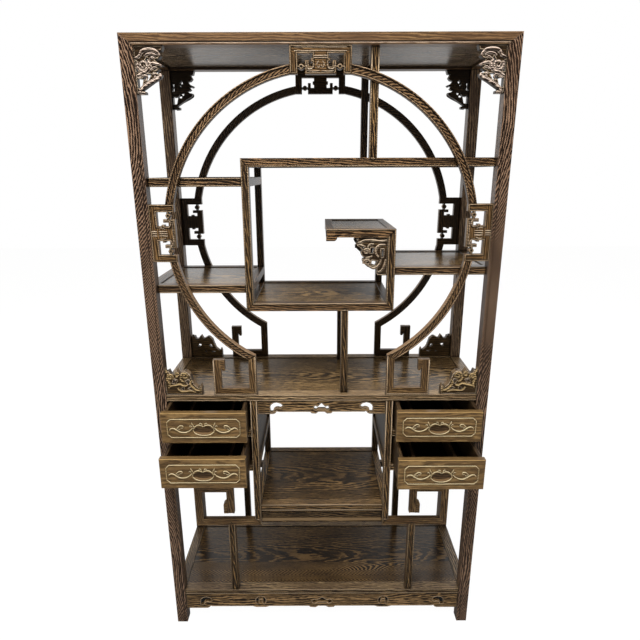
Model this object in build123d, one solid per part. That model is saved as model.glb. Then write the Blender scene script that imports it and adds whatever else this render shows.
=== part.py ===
from build123d import *
from math import sqrt
import os

os.makedirs("parts", exist_ok=True)

# A Chinese curio and book cabinet in solid wood: four corner posts, frame-and-panel shelves at
# uneven heights, an open ring carried by key-pattern brackets on the front and on the back,
# pierced corner brackets, meander frets and four drawers. Millimetres, X to the right, Y towards
# the back, Z up. Depths, written d, are measured from the plane of the front faces of the posts.

# ---------------------------------------------------------------- driving dimensions
# Case
WIDTH = 1000.0
DEPTH = 355.0
MIDDLE_TOP = 858.0
POST = 34.0
POST_EASE = 2.5
TOP_RAIL = 27.5
POST_BEAD_SHARE = 0.24
RAIL_SET = 1.0

# Slim mouldings: a sunk field between two beads on the outward face
SLIM = 21.0
RAIL = 23.0
SLIM_DEPTH = 26.0
SLIM_SET = 2.0
FRAME_SET = 18.0
BEAD = 4.0
FIELD_SINK = 1.0
SCRIBE = 1.5
SCRIBE_DEPTH = 1.0

# Floating panels
PANEL_RECESS = 2.5
PANEL_THICK = 9.0
TONGUE = 5.0
TONGUE_THICK = 4.0
TOP_PANEL_THICK = 20.0
FOOT_HOUSING = 2.0
BATTEN_WIDTH = 34.0
BATTEN_THICK = 5.0

# Shelf surfaces: the base above the floor, the others above or below the middle shelf
BASE_TOP = 138.0
BASE_RAIL = 18.0
LOWER_DROP = 384.0
MIDDLE_RAIL = 19.5
BOX_RISE = 279.0
LOWER_LEFT_RISE = 333.5
RIGHT_RISE = 384.0
SMALL_RISE = 490.0
UPPER_LEFT_RISE = 627.0
LONG_RISE = 677.5

# Positions across the width
BOX_LEFT = -215.0
BOX_RIGHT = 208.5
DIVIDER_X = 138.5
MIDDLE_UPRIGHT_X = 67.8
SMALL_LEFT = 14.0
SMALL_HOOK = 31.0
SMALL_HOOK_DROP = 10.0
INNER_UPRIGHT = 216.0

# Ring: it stands on its legs and nearly fills the upper part, so it sets the cabinet's height
RING_SIDE_GAP = 39.0
RING_TOP_GAP = 37.0
RING_BAND = 22.0
RING_DEPTH = 16.0
LEG_OUT = 215.0
LEG_HEIGHT = 111.58
FOOT_GAP = 146.0
FOOT_HOOK = 12.0
FOOT_HOOK_LENGTH = 34.0

# Key-pattern brackets that carry the ring
KEY_HALF = 78.0
KEY_BAR = 20.0
KEY_WAIST = 20.0
KEY_BODY = 39.0
KEY_BODY_DEPTH = 17.0
KEY_BEAD = 7.0
KEY_EAR = 9.0
KEY_EAR_RISE = 14.0
KEY_LINK = 4.0

# Lower meander frets, placed from the post and from the lower shelf
FRET_BAR = 23.0
FRET_GAP = 60.0
FRET_SPAN = 124.0
FRET_BELOW = 78.0
FRET_HEIGHT = 147.0
FRET_DROP_RISE = 45.0
FRET_HOOK = 11.0
FRET_HOOK_LENGTH = 42.0

# Pierced boards
BRACKET_THICK = 18.0
BRACKET_SET = 5.0
UPPER_BRACKET_WIDE = 74.0
UPPER_BRACKET_HIGH = 112.0
LOWER_BRACKET_WIDE = 109.0
LOWER_BRACKET_HIGH = 83.0
SMALL_BRACKET_WIDE = 95.0
SMALL_BRACKET_HIGH = 108.0
APRON_THICK = 10.0
APRON_SET = 6.0
CENTRE_APRON = 39.0
CENTRE_LOBE = 48.0
BASE_APRON = 58.0
BASE_LOBE = 71.0
BASE_RING_GAP = 256.0
APRON_DROP = 7.0
APRON_SWELL = 4.0
CENTRE_MIDDLE = 34.0
BASE_MIDDLE = 45.0
SIDE_LOBE = 28.0
CLOUD_WIDE = 40.0
CLOUD_HIGH = 28.0
BROKEN_RING = 17.0
CREST_HIGH = 22.0
COVE_APRON = 44.0
COVE_THICK = 20.0
COVE_HOLLOW = 7.0
COVE_LIP = 5.0

# Drawer cases and drawers
CASE_HEIGHT = 240.5
CASE_RAIL = 22.0
CASE_PANEL = 8.0
RUNNER_WIDTH = 20.0
RUNNER_THICK = 14.0
GUIDE_HEIGHT = 9.0
DRAWER_SET = 1.0
DRAWER_LENGTH = 318.0
DRAWER_GAP = 1.5
RUN_GAP = 0.5
GUIDE_GAP = 1.0
FRONT_THICK = 18.0
SIDE_THICK = 10.0
SIDE_INSET = 6.0
SIDE_DROP = 2.0
SIDE_HOUSING = 6.0
DRAWER_BOTTOM = 6.0
BOTTOM_RAISE = 9.0
BOTTOM_TONGUE = 4.0
FRONT_EASE = 1.2
PARTITION_THICK = 9.0
PARTITION_HEIGHT = 38.0
PARTITION_INSET = 40.0
PULL_WIDTH = 58.0
PULL_HEIGHT = 29.0
PULL_DEPTH = 6.0
PULL_DROP = 6.0

# How far each drawer stands open
UPPER_LEFT_OPEN = 78.0
UPPER_RIGHT_OPEN = 76.0
LOWER_LEFT_OPEN = 124.0
LOWER_RIGHT_OPEN = 134.0

# ---------------------------------------------------------------- worked out from them
HALF = WIDTH / 2
INNER = HALF - POST
RING_OUT = INNER - RING_SIDE_GAP
RING_IN = RING_OUT - RING_BAND
LEG_IN = LEG_OUT - RING_BAND
FOOT_OUT = INNER - FOOT_GAP
FOOT_TOP = MIDDLE_TOP + LEG_HEIGHT
RING_Z = FOOT_TOP + sqrt(RING_OUT**2 - LEG_OUT**2)
TOP_LOW = RING_Z + RING_OUT + RING_TOP_GAP
HEIGHT = TOP_LOW + TOP_RAIL
BOX_TOP = MIDDLE_TOP + BOX_RISE
LOWER_LEFT_TOP = MIDDLE_TOP + LOWER_LEFT_RISE
RIGHT_TOP = MIDDLE_TOP + RIGHT_RISE
SMALL_TOP = MIDDLE_TOP + SMALL_RISE
UPPER_LEFT_TOP = MIDDLE_TOP + UPPER_LEFT_RISE
LONG_TOP = MIDDLE_TOP + LONG_RISE
LOWER_TOP = MIDDLE_TOP - LOWER_DROP
MIDDLE_LOW = MIDDLE_TOP - MIDDLE_RAIL
BASE_LOW = BASE_TOP - BASE_RAIL
LONGEST_OPEN = max(UPPER_LEFT_OPEN, UPPER_RIGHT_OPEN, LOWER_LEFT_OPEN, LOWER_RIGHT_OPEN)
FRONT_Y = (LONGEST_OPEN - DRAWER_SET - DEPTH) / 2
MIDDLE_Y = FRONT_Y + DEPTH / 2
SLIM_BACK = SLIM_SET + SLIM_DEPTH
FRAME_BACK = FRAME_SET + SLIM_DEPTH
RING_BACK = SLIM_SET + RING_DEPTH
INNER_UPRIGHT_IN = INNER_UPRIGHT - SLIM
FRET_BOTTOM = LOWER_TOP - FRET_BELOW
FRET_TOP = FRET_BOTTOM + FRET_HEIGHT
FRET_DROP_END = FRET_BOTTOM + FRET_DROP_RISE
FRET_OUT = INNER - FRET_GAP
FRET_DROP = FRET_OUT - FRET_SPAN
FRET_POST_X = FRET_DROP + FRET_BAR / 2
CASE_BOTTOM = MIDDLE_LOW - CASE_HEIGHT
CASE_FLOOR = CASE_BOTTOM + CASE_RAIL
OPENING_HEIGHT = (CASE_HEIGHT - 2 * CASE_RAIL) / 2
DIVIDER_BOTTOM = CASE_FLOOR + OPENING_HEIGHT
DIVIDER_TOP = DIVIDER_BOTTOM + CASE_RAIL


# ---------------------------------------------------------------- making solids
def block(x0, x1, d0, d1, z0, z1):
    """Rectangular block between two values of X, of depth and of Z."""
    size = (x1 - x0, d1 - d0, z1 - z0)
    middle = ((x0 + x1) / 2, FRONT_Y + (d0 + d1) / 2, (z0 + z1) / 2)
    return Pos(*middle) * Box(*size)


def slab(face, d0, d1):
    """Plate whose outline is drawn in X and Z, between two depths."""
    return extrude(Plane.XZ.offset(-FRONT_Y - d1) * face, d1 - d0)


def plate(face, z0, z1):
    """Plate whose outline is drawn in X and depth, between two heights."""
    return extrude(Pos(0, FRONT_Y, z0) * face, z1 - z0)


def section(face, x0, x1):
    """Moulding whose section is drawn in depth and Z, between two values of X."""
    return extrude(Plane.YZ.offset(x0) * Pos(FRONT_Y, 0) * face, x1 - x0)


def outline(*points):
    return make_face(Polyline(*points, close=True))


def lobed(nodes):
    """Face of lines and arcs. A node is (u, w, bulge): the edge that follows it stands proud of
    its chord by bulge half chords, outwards when positive."""
    edges = []
    for (u0, w0, bulge), (u1, w1, _) in zip(nodes, nodes[1:] + nodes[:1]):
        if bulge:
            u = (u0 + u1) / 2 + (w1 - w0) / 2 * bulge
            w = (w0 + w1) / 2 - (u1 - u0) / 2 * bulge
            edges.append(ThreePointArc((u0, w0), (u, w), (u1, w1)))
        else:
            edges.append(Line((u0, w0), (u1, w1)))
    return make_face(edges)


QUARTER_BULGE = sqrt(2) - 1


def to_back(shape):
    return mirror(shape, about=Plane.XZ.offset(-MIDDLE_Y))


def to_left(shape):
    return mirror(shape, about=Plane.YZ)


def four(shape):
    """A piece and its copies on the other side and on the back."""
    pair = [shape, to_left(shape)]
    return pair + [to_back(piece) for piece in pair]


def both_faces(shape):
    return [shape, to_back(shape)]


def solids_of(*shapes):
    found = []
    for shape in shapes:
        found += solids_of(*shape) if isinstance(shape, (list, tuple)) else list(shape.solids())
    return found


def save(name, *shapes):
    pieces = solids_of(*shapes)
    whole = pieces[0] if len(pieces) == 1 else Compound(children=pieces)
    whole.label = name
    export_step(whole, f"parts/{name}.step")


# ---------------------------------------------------------------- beaded mouldings
def beaded_rail(solid, z_low, z_high, d0):
    """Sinks the field of a level rail between the beads on its two long edges."""
    return solid - block(-HALF, HALF, d0, d0 + FIELD_SINK, z_low + BEAD, z_high - BEAD)


def beaded_upright(solid, x_low, x_high, d0):
    """The same on an upright."""
    return solid - block(x_low + BEAD, x_high - BEAD, d0, d0 + FIELD_SINK, 0, HEIGHT)


def level_rail(d0, *points):
    """Slim level rail whose face is at depth d0, from its outline in X and Z."""
    heights = [z for _, z in points]
    return beaded_rail(slab(outline(*points), d0, d0 + SLIM_DEPTH), min(heights), max(heights), d0)


def upright(d0, x, *points):
    """Slim upright whose face is at depth d0 and whose near edge is at x, from its outline."""
    return beaded_upright(slab(outline(*points), d0, d0 + SLIM_DEPTH), x, x + SLIM, d0)


def mitred_run(path, width):
    """Bars along a path of level and upright runs, mitred where they turn."""
    bars = []
    for i in range(len(path) - 1):
        (x0, z0), (x1, z1) = path[i], path[i + 1]
        length = abs(x1 - x0) + abs(z1 - z0)
        ux, uz = (x1 - x0) / length, (z1 - z0) / length
        before = turn(path, i)
        after = turn(path, i + 1)
        half = width / 2
        corners = []
        for x, z, side, slope in (
            (x0, z0, 1, before), (x1, z1, 1, -after), (x1, z1, -1, after), (x0, z0, -1, -before)
        ):
            corners.append((x - uz * half * side + ux * half * slope,
                            z + ux * half * side + uz * half * slope))
        bar = slab(outline(*corners), SLIM_SET, RING_BACK)
        if ux:
            bars.append(beaded_rail(bar, z0 - half, z0 + half, SLIM_SET))
        else:
            bars.append(beaded_upright(bar, x0 - half, x0 + half, SLIM_SET))
    return bars


def turn(path, i):
    """1 where the path turns left at its point i, -1 right, 0 at an end."""
    if i in (0, len(path) - 1):
        return 0
    (x0, z0), (x1, z1), (x2, z2) = path[i - 1:i + 2]
    return 1 if (x1 - x0) * (z2 - z1) - (z1 - z0) * (x2 - x1) > 0 else -1


# ---------------------------------------------------------------- posts and top
def post():
    """Front right post: its head is the upright leg of a three-way mitre."""
    piece = block(INNER, HALF, 0, POST, 0, HEIGHT)
    piece -= slab(outline((HALF, HEIGHT), (INNER, HEIGHT), (INNER, TOP_LOW)), 0, POST)
    piece -= section(outline((0, HEIGHT), (POST, HEIGHT), (POST, TOP_LOW)), INNER, HALF)
    piece = chamfer(piece.faces().sort_by(Axis.Z)[0].edges(), POST_EASE)
    inset = POST * POST_BEAD_SHARE
    piece -= block(INNER + inset, INNER + inset + SCRIBE, 0, SCRIBE_DEPTH, 0, HEIGHT)
    piece -= block(HALF - SCRIBE_DEPTH, HALF, POST - inset - SCRIBE, POST - inset, 0, HEIGHT)
    return piece


def top_rails():
    """Front and right rails of the top, mitred to each other and to the posts."""
    z = TOP_LOW + TOP_RAIL * POST_BEAD_SHARE
    front = block(-HALF, HALF, 0, POST, TOP_LOW, HEIGHT)
    side = block(INNER, HALF, 0, DEPTH, TOP_LOW, HEIGHT)
    for s in (-1, 1):
        front -= slab(outline((s * HALF, HEIGHT), (s * HALF, TOP_LOW), (s * INNER, TOP_LOW)), 0, POST)
        front -= plate(outline((s * HALF, 0), (s * HALF, POST), (s * INNER, POST)), TOP_LOW, HEIGHT)
    for d0, d1 in ((0, POST), (DEPTH, DEPTH - POST)):
        side -= plate(outline((HALF, d0), (INNER, d0), (INNER, d1)), TOP_LOW, HEIGHT)
        side -= section(outline((d0, HEIGHT), (d0, TOP_LOW), (d1, TOP_LOW)), INNER, HALF)
    front -= block(-HALF, HALF, 0, SCRIBE_DEPTH, z, z + SCRIBE)
    side -= block(HALF - SCRIBE_DEPTH, HALF, 0, DEPTH, z, z + SCRIBE)
    return front, side


def board(x0, x1, d0, d1, top, thick):
    """Floating panel with a tongue all round that seats in its frame."""
    middle = top - thick / 2
    tongue = block(x0 - TONGUE, x1 + TONGUE, d0 - TONGUE, d1 + TONGUE,
                   middle - TONGUE_THICK / 2, middle + TONGUE_THICK / 2)
    return block(x0, x1, d0, d1, top - thick, top) + tongue


posts = four(post())
top_front, top_right = top_rails()
top_panel = board(-INNER, INNER, POST, DEPTH - POST, HEIGHT, TOP_PANEL_THICK)
top_frame = [rail - top_panel for rail in both_faces(top_front) + [top_right, to_left(top_right)]]

save("top_frame", top_frame)
save("top_panel", top_panel)


# ---------------------------------------------------------------- full-width shelves
def wide_shelf(top, height):
    """Frame rails between the posts, and the panel they hold."""
    low = top - height
    d0, d1 = RAIL_SET, POST - RAIL_SET
    front = beaded_rail(block(-INNER, INNER, d0, d1, low, top), low, top, d0)
    side = block(INNER + RAIL_SET, HALF - RAIL_SET, POST, DEPTH - POST, low, top)
    edge = INNER + RAIL_SET
    panel = board(-edge, edge, d1, DEPTH - d1, top - PANEL_RECESS, PANEL_THICK)
    for piece in posts:
        panel -= piece
    rails = [rail - panel for rail in both_faces(front) + [side, to_left(side)]]
    return rails, panel


def battens(places, top, d0):
    """Cross battens under a panel, from the front rail to the back rail."""
    high = top - PANEL_RECESS - PANEL_THICK
    return [block(x - BATTEN_WIDTH / 2, x + BATTEN_WIDTH / 2, d0, DEPTH - d0, high - BATTEN_THICK, high)
            for x in places]


middle_frame, middle_panel = wide_shelf(MIDDLE_TOP, MIDDLE_RAIL)
base_frame, base_panel = wide_shelf(BASE_TOP, BASE_RAIL)
save("base_shelf_frame", base_frame)
save("base_shelf_panel", base_panel)


# ---------------------------------------------------------------- slim uprights
def mitred_upright(d0, x, low, high, low_mitre, high_mitre, mitre=RAIL):
    """Slim upright from x to x + SLIM. A mitre of 1 or -1 slopes its end towards +X or -X."""
    left_low = low + (mitre if low_mitre > 0 else 0)
    right_low = low + (mitre if low_mitre < 0 else 0)
    left_high = high - (mitre if high_mitre > 0 else 0)
    right_high = high - (mitre if high_mitre < 0 else 0)
    return upright(d0, x, (x, left_low), (x + SLIM, right_low), (x + SLIM, right_high), (x, left_high))


def pointed_upright(d0, middle, low, high, point_low, point_high):
    """Slim upright whose ends run to a point where they are let into a level member."""
    x0, x1 = middle - SLIM / 2, middle + SLIM / 2
    foot = [(middle, low - SLIM / 2)] if point_low else []
    head = [(middle, high + SLIM / 2)] if point_high else []
    return upright(d0, x0, (x0, low), *foot, (x1, low), (x1, high), *head, (x0, high))


box_low = BOX_TOP - RAIL
panel_under_top = HEIGHT - TOP_PANEL_THICK
box_left = mitred_upright(FRAME_SET, BOX_LEFT, box_low, LONG_TOP, -1, -1)
box_right = mitred_upright(FRAME_SET, BOX_RIGHT - SLIM, box_low, SMALL_TOP, 1, 1)
divider = pointed_upright(FRAME_SET, DIVIDER_X, LONG_TOP, panel_under_top, True, False)
foot_z = MIDDLE_TOP - PANEL_RECESS - FOOT_HOUSING
middle_upright = pointed_upright(FRAME_SET, MIDDLE_UPRIGHT_X, foot_z, box_low, False, True)
inner_upright = mitred_upright(SLIM_SET, INNER_UPRIGHT_IN, FRET_BOTTOM, MIDDLE_LOW, -1, 0, FRET_BAR)
for rail in top_frame:
    divider -= rail
for rail in middle_frame:
    middle_upright -= rail
for piece in both_faces(middle_upright):
    middle_panel -= piece


# ---------------------------------------------------------------- ring
def ring_band(inner=RING_IN, outer=RING_OUT):
    return Pos(0, RING_Z) * (Circle(outer) - Circle(inner))


def knee():
    """Where the ring turns into its upright leg: the inner and the outer corner of the mitre."""
    inner = (LEG_IN, RING_Z - sqrt(RING_IN**2 - LEG_IN**2))
    outer = (LEG_OUT, RING_Z - sqrt(RING_OUT**2 - LEG_OUT**2))
    return inner, outer


def beaded_arc(region):
    """Right-hand stretch of the ring that lies inside a region."""
    field = ring_band(RING_IN + BEAD, RING_OUT - BEAD)
    return slab(ring_band() & region, SLIM_SET, RING_BACK) - slab(field, SLIM_SET, SLIM_SET + FIELD_SINK)


def upper_arc():
    reach = RING_OUT + RING_BAND
    corner = outline((KEY_HALF, RING_Z + KEY_HALF), (reach, RING_Z + KEY_HALF),
                     (reach, RING_Z + reach), (KEY_HALF, RING_Z + reach))
    return beaded_arc(corner)


def lower_arc():
    (x0, z0), (x1, z1) = knee()
    far_x, far_z = x1 + 2 * (x1 - x0), z1 + 2 * (z1 - z0)
    near_x, near_z = x0 - 2 * (x1 - x0), z0 - 2 * (z1 - z0)
    reach = RING_OUT + RING_BAND
    high = RING_Z - KEY_HALF
    return beaded_arc(outline((near_x, near_z), (far_x, far_z), (reach, far_z), (reach, high), (near_x, high)))


def ring_foot():
    """Leg under the ring and its meander foot, standing on the middle shelf."""
    (x0, z0), (x1, z1) = knee()
    half = RING_BAND / 2
    level = MIDDLE_TOP + half
    leg = slab(outline((x0, z0), (x1, z1), (x1, MIDDLE_TOP + RING_BAND), (x0, MIDDLE_TOP)),
               SLIM_SET, RING_BACK)
    leg = beaded_upright(leg, x0, x1, SLIM_SET)
    riser = FOOT_OUT - half
    run = mitred_run([(x0 + half, level), (riser, level), (riser, FOOT_TOP)], RING_BAND)
    run[0] += beaded_rail(slab(outline((x0, MIDDLE_TOP), (x0 + half, MIDDLE_TOP), (x0 + half, level)),
                               SLIM_SET, RING_BACK), MIDDLE_TOP, MIDDLE_TOP + RING_BAND, SLIM_SET)
    run[0] -= leg
    edge = FOOT_OUT - RING_BAND
    hook = slab(outline((edge, FOOT_TOP), (edge - FOOT_HOOK, FOOT_TOP),
                        (edge - FOOT_HOOK, FOOT_TOP - FOOT_HOOK_LENGTH),
                        (edge - FOOT_HOOK / 2, FOOT_TOP - FOOT_HOOK_LENGTH),
                        (edge, FOOT_TOP - FOOT_HOOK_LENGTH * 0.7)), SLIM_SET, RING_BACK)
    return [leg, run[0], run[1] + hook]


def key_bracket(reach):
    """Face of a ring bracket. u runs along the member it hangs from and w away from it, and the
    legs end level with the inner edge of the ring."""
    def bar(u0, u1, w0, w1):
        return Pos((u0 + u1) / 2, (w0 + w1) / 2) * Rectangle(u1 - u0, w1 - w0)

    body_w = reach - KEY_BODY_DEPTH
    bead_u = (KEY_BODY + KEY_HALF - KEY_BAR) / 2
    cross_w = (KEY_BAR + body_w) / 2
    shape = bar(-KEY_HALF, KEY_HALF, 0, KEY_BAR)
    shape += bar(-KEY_WAIST, KEY_WAIST, KEY_BAR, reach)
    shape += bar(-KEY_BODY, KEY_BODY, body_w, reach)
    shape += bar(-KEY_WAIST - KEY_LINK, KEY_WAIST + KEY_LINK, cross_w - KEY_LINK, cross_w + KEY_LINK)
    for s in (-1, 1):
        shape += bar(*sorted((s * KEY_HALF, s * (KEY_HALF - KEY_BAR))), 0, reach)
        shape += bar(*sorted((s * KEY_BODY, s * (KEY_BODY - KEY_EAR))), body_w - KEY_EAR_RISE, body_w)
        shape += Pos(s * bead_u, body_w) * RegularPolygon(KEY_BEAD, 8)
        shape += bar(*sorted((s * KEY_BODY, s * (KEY_HALF - KEY_BAR))), body_w - KEY_LINK / 2,
                     body_w + KEY_LINK / 2)
    return shape


ring_chord = sqrt(RING_IN**2 - KEY_HALF**2)
top_key_face = Pos(0, TOP_LOW) * mirror(key_bracket(TOP_LOW - RING_Z - ring_chord), about=Plane.XZ)
side_key_face = Pos(INNER, RING_Z) * Rot(0, 0, 90) * key_bracket(INNER - ring_chord)
top_key = slab(top_key_face, SLIM_SET, RING_BACK)
side_key = slab(side_key_face, SLIM_SET, RING_BACK)
arcs = {"upper_right": upper_arc(), "lower_right": lower_arc()}
arcs["upper_left"] = to_left(arcs["upper_right"])
arcs["lower_left"] = to_left(arcs["lower_right"])
foot = ring_foot()


# ---------------------------------------------------------------- slim shelves
def shelf_rail(x0, x1, top, mitre_left=0, mitre_right=0, d0=FRAME_SET):
    """Slim front rail from x0 to x1. A mitre of 1 or -1 takes its top or its bottom corner off."""
    low = top - RAIL
    left_high = x0 + (SLIM if mitre_left > 0 else 0)
    left_low = x0 + (SLIM if mitre_left < 0 else 0)
    right_high = x1 - (SLIM if mitre_right > 0 else 0)
    right_low = x1 - (SLIM if mitre_right < 0 else 0)
    return level_rail(d0, (left_low, low), (right_low, low), (right_high, top), (left_high, top))


def slim_shelf(front, x0, x1, top, d0=FRAME_SET):
    """Frame and panel of a shelf. x0 and x1 are the inner edges of its end rails, each of which
    lies between two posts or two slim uprights."""
    rails = both_faces(front)
    low, behind = top - RAIL, d0 + SLIM_DEPTH
    for x, s in ((x0, -1), (x1, 1)):
        if abs(x) == INNER:
            rails.append(block(*sorted((x, s * (HALF - RAIL_SET))), POST, DEPTH - POST, low, top))
        else:
            rails.append(block(*sorted((x, x + s * SLIM)), behind, DEPTH - behind, low, top))
    panel = board(x0, x1, behind, DEPTH - behind, top - PANEL_RECESS, PANEL_THICK)
    for piece in uprights:
        panel -= piece
    return [rail - panel for rail in rails], panel


uprights = []
for piece in (box_left, box_right):
    uprights += both_faces(piece)
uprights += four(inner_upright)

box_left_in = BOX_LEFT + SLIM
box_right_in = BOX_RIGHT - SLIM
long_front = shelf_rail(BOX_LEFT, INNER, LONG_TOP, mitre_left=-1) - divider
box_front = shelf_rail(BOX_LEFT, BOX_RIGHT, BOX_TOP, mitre_left=1, mitre_right=1) - middle_upright
upper_left_front = shelf_rail(-INNER, BOX_LEFT, UPPER_LEFT_TOP)
lower_left_front = shelf_rail(-INNER, BOX_LEFT, LOWER_LEFT_TOP)
right_front = shelf_rail(BOX_RIGHT, INNER, RIGHT_TOP)
lower_front = shelf_rail(-INNER_UPRIGHT_IN, INNER_UPRIGHT_IN, LOWER_TOP, d0=SLIM_SET)

shelves = {
    "long_shelf": slim_shelf(long_front, box_left_in, INNER, LONG_TOP),
    "box_shelf": slim_shelf(box_front, box_left_in, box_right_in, BOX_TOP),
    "upper_left_shelf": slim_shelf(upper_left_front, -INNER, BOX_LEFT, UPPER_LEFT_TOP),
    "lower_left_shelf": slim_shelf(lower_left_front, -INNER, BOX_LEFT, LOWER_LEFT_TOP),
    "right_shelf": slim_shelf(right_front, BOX_RIGHT, INNER, RIGHT_TOP),
    "lower_shelf": slim_shelf(lower_front, -INNER_UPRIGHT_IN, INNER_UPRIGHT_IN, LOWER_TOP, SLIM_SET),
}


def small_shelf():
    """Shelf that stands free at its left end, where a short hook turns down."""
    top, low = SMALL_TOP, SMALL_TOP - RAIL
    x0, x1 = SMALL_LEFT, SMALL_LEFT + SLIM
    hook_x, hook_z = SMALL_LEFT + SMALL_HOOK, low - SMALL_HOOK_DROP
    d0, d1 = FRAME_SET, FRAME_BACK
    front = level_rail(d0, (x0, low), (box_right_in, low), (BOX_RIGHT, top), (x0, top))
    hook = [(x0, low, 0), (x0, hook_z, 0), (hook_x - SMALL_HOOK_DROP, hook_z, QUARTER_BULGE), (hook_x, low, 0)]
    front += slab(lobed(hook), d0, d1)
    front -= plate(outline((x0, d0), (x0, d1), (x1, d1)), hook_z, top)
    end = block(x0, x1, d0, DEPTH - d0, low, top)
    for near, far in ((d0, d1), (DEPTH - d0, DEPTH - d1)):
        end -= plate(outline((x0, near), (x1, near), (x1, far)), low, top)
    side = block(box_right_in, BOX_RIGHT, d1, DEPTH - d1, low, top)
    panel = board(x1, box_right_in, d1, DEPTH - d1, top - PANEL_RECESS, PANEL_THICK)
    for piece in both_faces(box_right):
        panel -= piece
    return [rail - panel for rail in both_faces(front) + [end, side]], panel


shelves["small_shelf"] = small_shelf()
for name, (frame, panel) in shelves.items():
    save(f"{name}_frame", frame)
    save(f"{name}_panel", panel)

divider -= shelves["long_shelf"][1]
front_arcs = list(arcs.values())
save("ring_front_arcs", front_arcs)
save("ring_back_arcs", [to_back(arc) for arc in front_arcs])
save("ring_feet", [four(bar) for bar in foot])
save("top_key_brackets", both_faces(top_key))
save("side_key_brackets", four(side_key))
save("box_left_uprights", both_faces(box_left))
save("box_right_uprights", both_faces(box_right))
save("top_dividers", both_faces(divider))
save("middle_uprights", both_faces(middle_upright))


# ---------------------------------------------------------------- pierced corner brackets
def fretted(edge, piercings, wide, high):
    """Pierced board from drawings of its edge and its piercings, drawn out to a width and a height."""
    along = wide / max(u for u, _ in edge)
    up = high / max(w for _, w in edge)
    face, *holes = [outline(*[(u * along, w * up) for u, w in points]) for points in [edge, *piercings]]
    for hole in holes:
        face -= hole
    return face


def upper_corner():
    """Scrolling bracket under the top: u from the post, w down from the rail."""
    edge = [
        (0, 0), (74, 0), (70, 12), (60, 13), (67, 24), (60.7, 30.2), (52, 32), (58, 40), (71, 45),
        (56, 48), (61, 54), (55.2, 58.5), (48, 59), (56, 64), (66, 66), (63.1, 72.8), (57, 77),
        (45, 83), (12, 104), (22, 106), (22, 112), (0, 112),
    ]
    piercings = [
        [(3, 74), (19, 77), (14, 96), (3, 98)],
        [(18, 77), (26, 65), (40, 66), (31, 80)],
        [(3, 36), (13, 42), (8, 60), (2, 61)],
        [(23, 40), (33, 28), (37, 36), (28, 48)],
    ]
    return fretted(edge, piercings, UPPER_BRACKET_WIDE, UPPER_BRACKET_HIGH)


def lower_corner():
    """Scrolling bracket on the middle shelf: u from the post, w up from the shelf."""
    edge = [
        (0, 0), (109, 0), (109, 22), (105, 32), (99, 22), (87, 33), (82, 45), (78, 59), (76.2, 65.5),
        (71, 70), (66.4, 74.7), (60, 76), (44, 67), (37, 81), (30.6, 75.8), (28, 68), (18, 67),
        (14, 78), (8.8, 76.8), (5, 73), (0, 83),
    ]
    piercings = [
        [(22, 39), (30, 36), (36, 47), (28, 50)],
        [(62, 45), (68, 35), (75, 37), (70, 48)],
        [(44, 19), (54, 16), (54, 23)],
        [(68, 20), (77, 16), (86, 20), (77, 23)],
    ]
    return fretted(edge, piercings, LOWER_BRACKET_WIDE, LOWER_BRACKET_HIGH)


def small_corner():
    """Scrolling bracket under the small shelf: u from the upright, w down from the rail."""
    edge = [
        (0, 0), (95, 0), (86, 3), (89, 8), (84, 11), (90, 18), (85, 26), (73, 35), (77, 44),
        (72.6, 53.3), (63, 57), (71, 61), (72.2, 65), (71, 69), (57, 83), (31, 90), (31, 103),
        (28, 108), (0, 108),
    ]
    piercings = [
        [(40, 31), (47, 30), (51, 43), (43, 45)],
        [(30, 68), (44, 66), (46, 76), (35, 80)],
        [(13, 34), (18, 34), (17, 56), (13, 54)],
        [(66, 26), (71, 25), (72, 31), (67, 32)],
    ]
    return fretted(edge, piercings, SMALL_BRACKET_WIDE, SMALL_BRACKET_HIGH)


def bracket(face, d0):
    return slab(face, d0, d0 + BRACKET_THICK)


upper_bracket = bracket(Pos(INNER, TOP_LOW) * Rot(0, 0, 180) * upper_corner(), BRACKET_SET)
lower_bracket = bracket(Pos(INNER, MIDDLE_TOP) * mirror(lower_corner(), about=Plane.YZ), BRACKET_SET)
small_bracket = bracket(Pos(box_right_in, SMALL_TOP - RAIL) * Rot(0, 0, 180) * small_corner(),
                        FRAME_SET + BRACKET_SET)
save("upper_corner_brackets", four(upper_bracket))
save("lower_corner_brackets", four(lower_bracket))
save("small_shelf_brackets", both_faces(small_bracket))


# ---------------------------------------------------------------- lower frets
def lower_fret():
    """Square spiral that turns out from the foot of an inner upright."""
    half = FRET_BAR / 2
    low, high = FRET_BOTTOM + half, FRET_TOP - half
    outer, drop = FRET_OUT - half, FRET_DROP + half
    path = [(INNER_UPRIGHT_IN, low), (outer, low), (outer, high), (drop, high), (drop, FRET_DROP_END)]
    bars = mitred_run(path, FRET_BAR)
    x = FRET_DROP + FRET_BAR
    hook = slab(lobed([(x, FRET_DROP_END, 0), (x + FRET_HOOK, FRET_DROP_END, 0),
                       (x + FRET_HOOK, FRET_DROP_END + FRET_HOOK_LENGTH - FRET_HOOK, QUARTER_BULGE),
                       (x, FRET_DROP_END + FRET_HOOK_LENGTH, 0)]), SLIM_SET, RING_BACK)
    bars[-1] += hook
    return bars


fret = lower_fret()
fret_post = pointed_upright(SLIM_SET, FRET_POST_X, BASE_TOP, FRET_BOTTOM, False, True)
fret[0] = fret[0] - fret_post - inner_upright
save("lower_frets", [four(bar) for bar in fret])
save("fret_posts", four(fret_post))


# ---------------------------------------------------------------- drawer cases
def runner(x, s, floor, d0, d1):
    """Runner with a side guide, against x and growing towards s."""
    return slab(outline((x, floor - RUNNER_THICK), (x + s * RUNNER_WIDTH, floor - RUNNER_THICK),
                        (x + s * RUNNER_WIDTH, floor), (x + s * guide_width, floor),
                        (x + s * guide_width, floor + GUIDE_HEIGHT), (x, floor + GUIDE_HEIGHT)), d0, d1)


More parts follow.
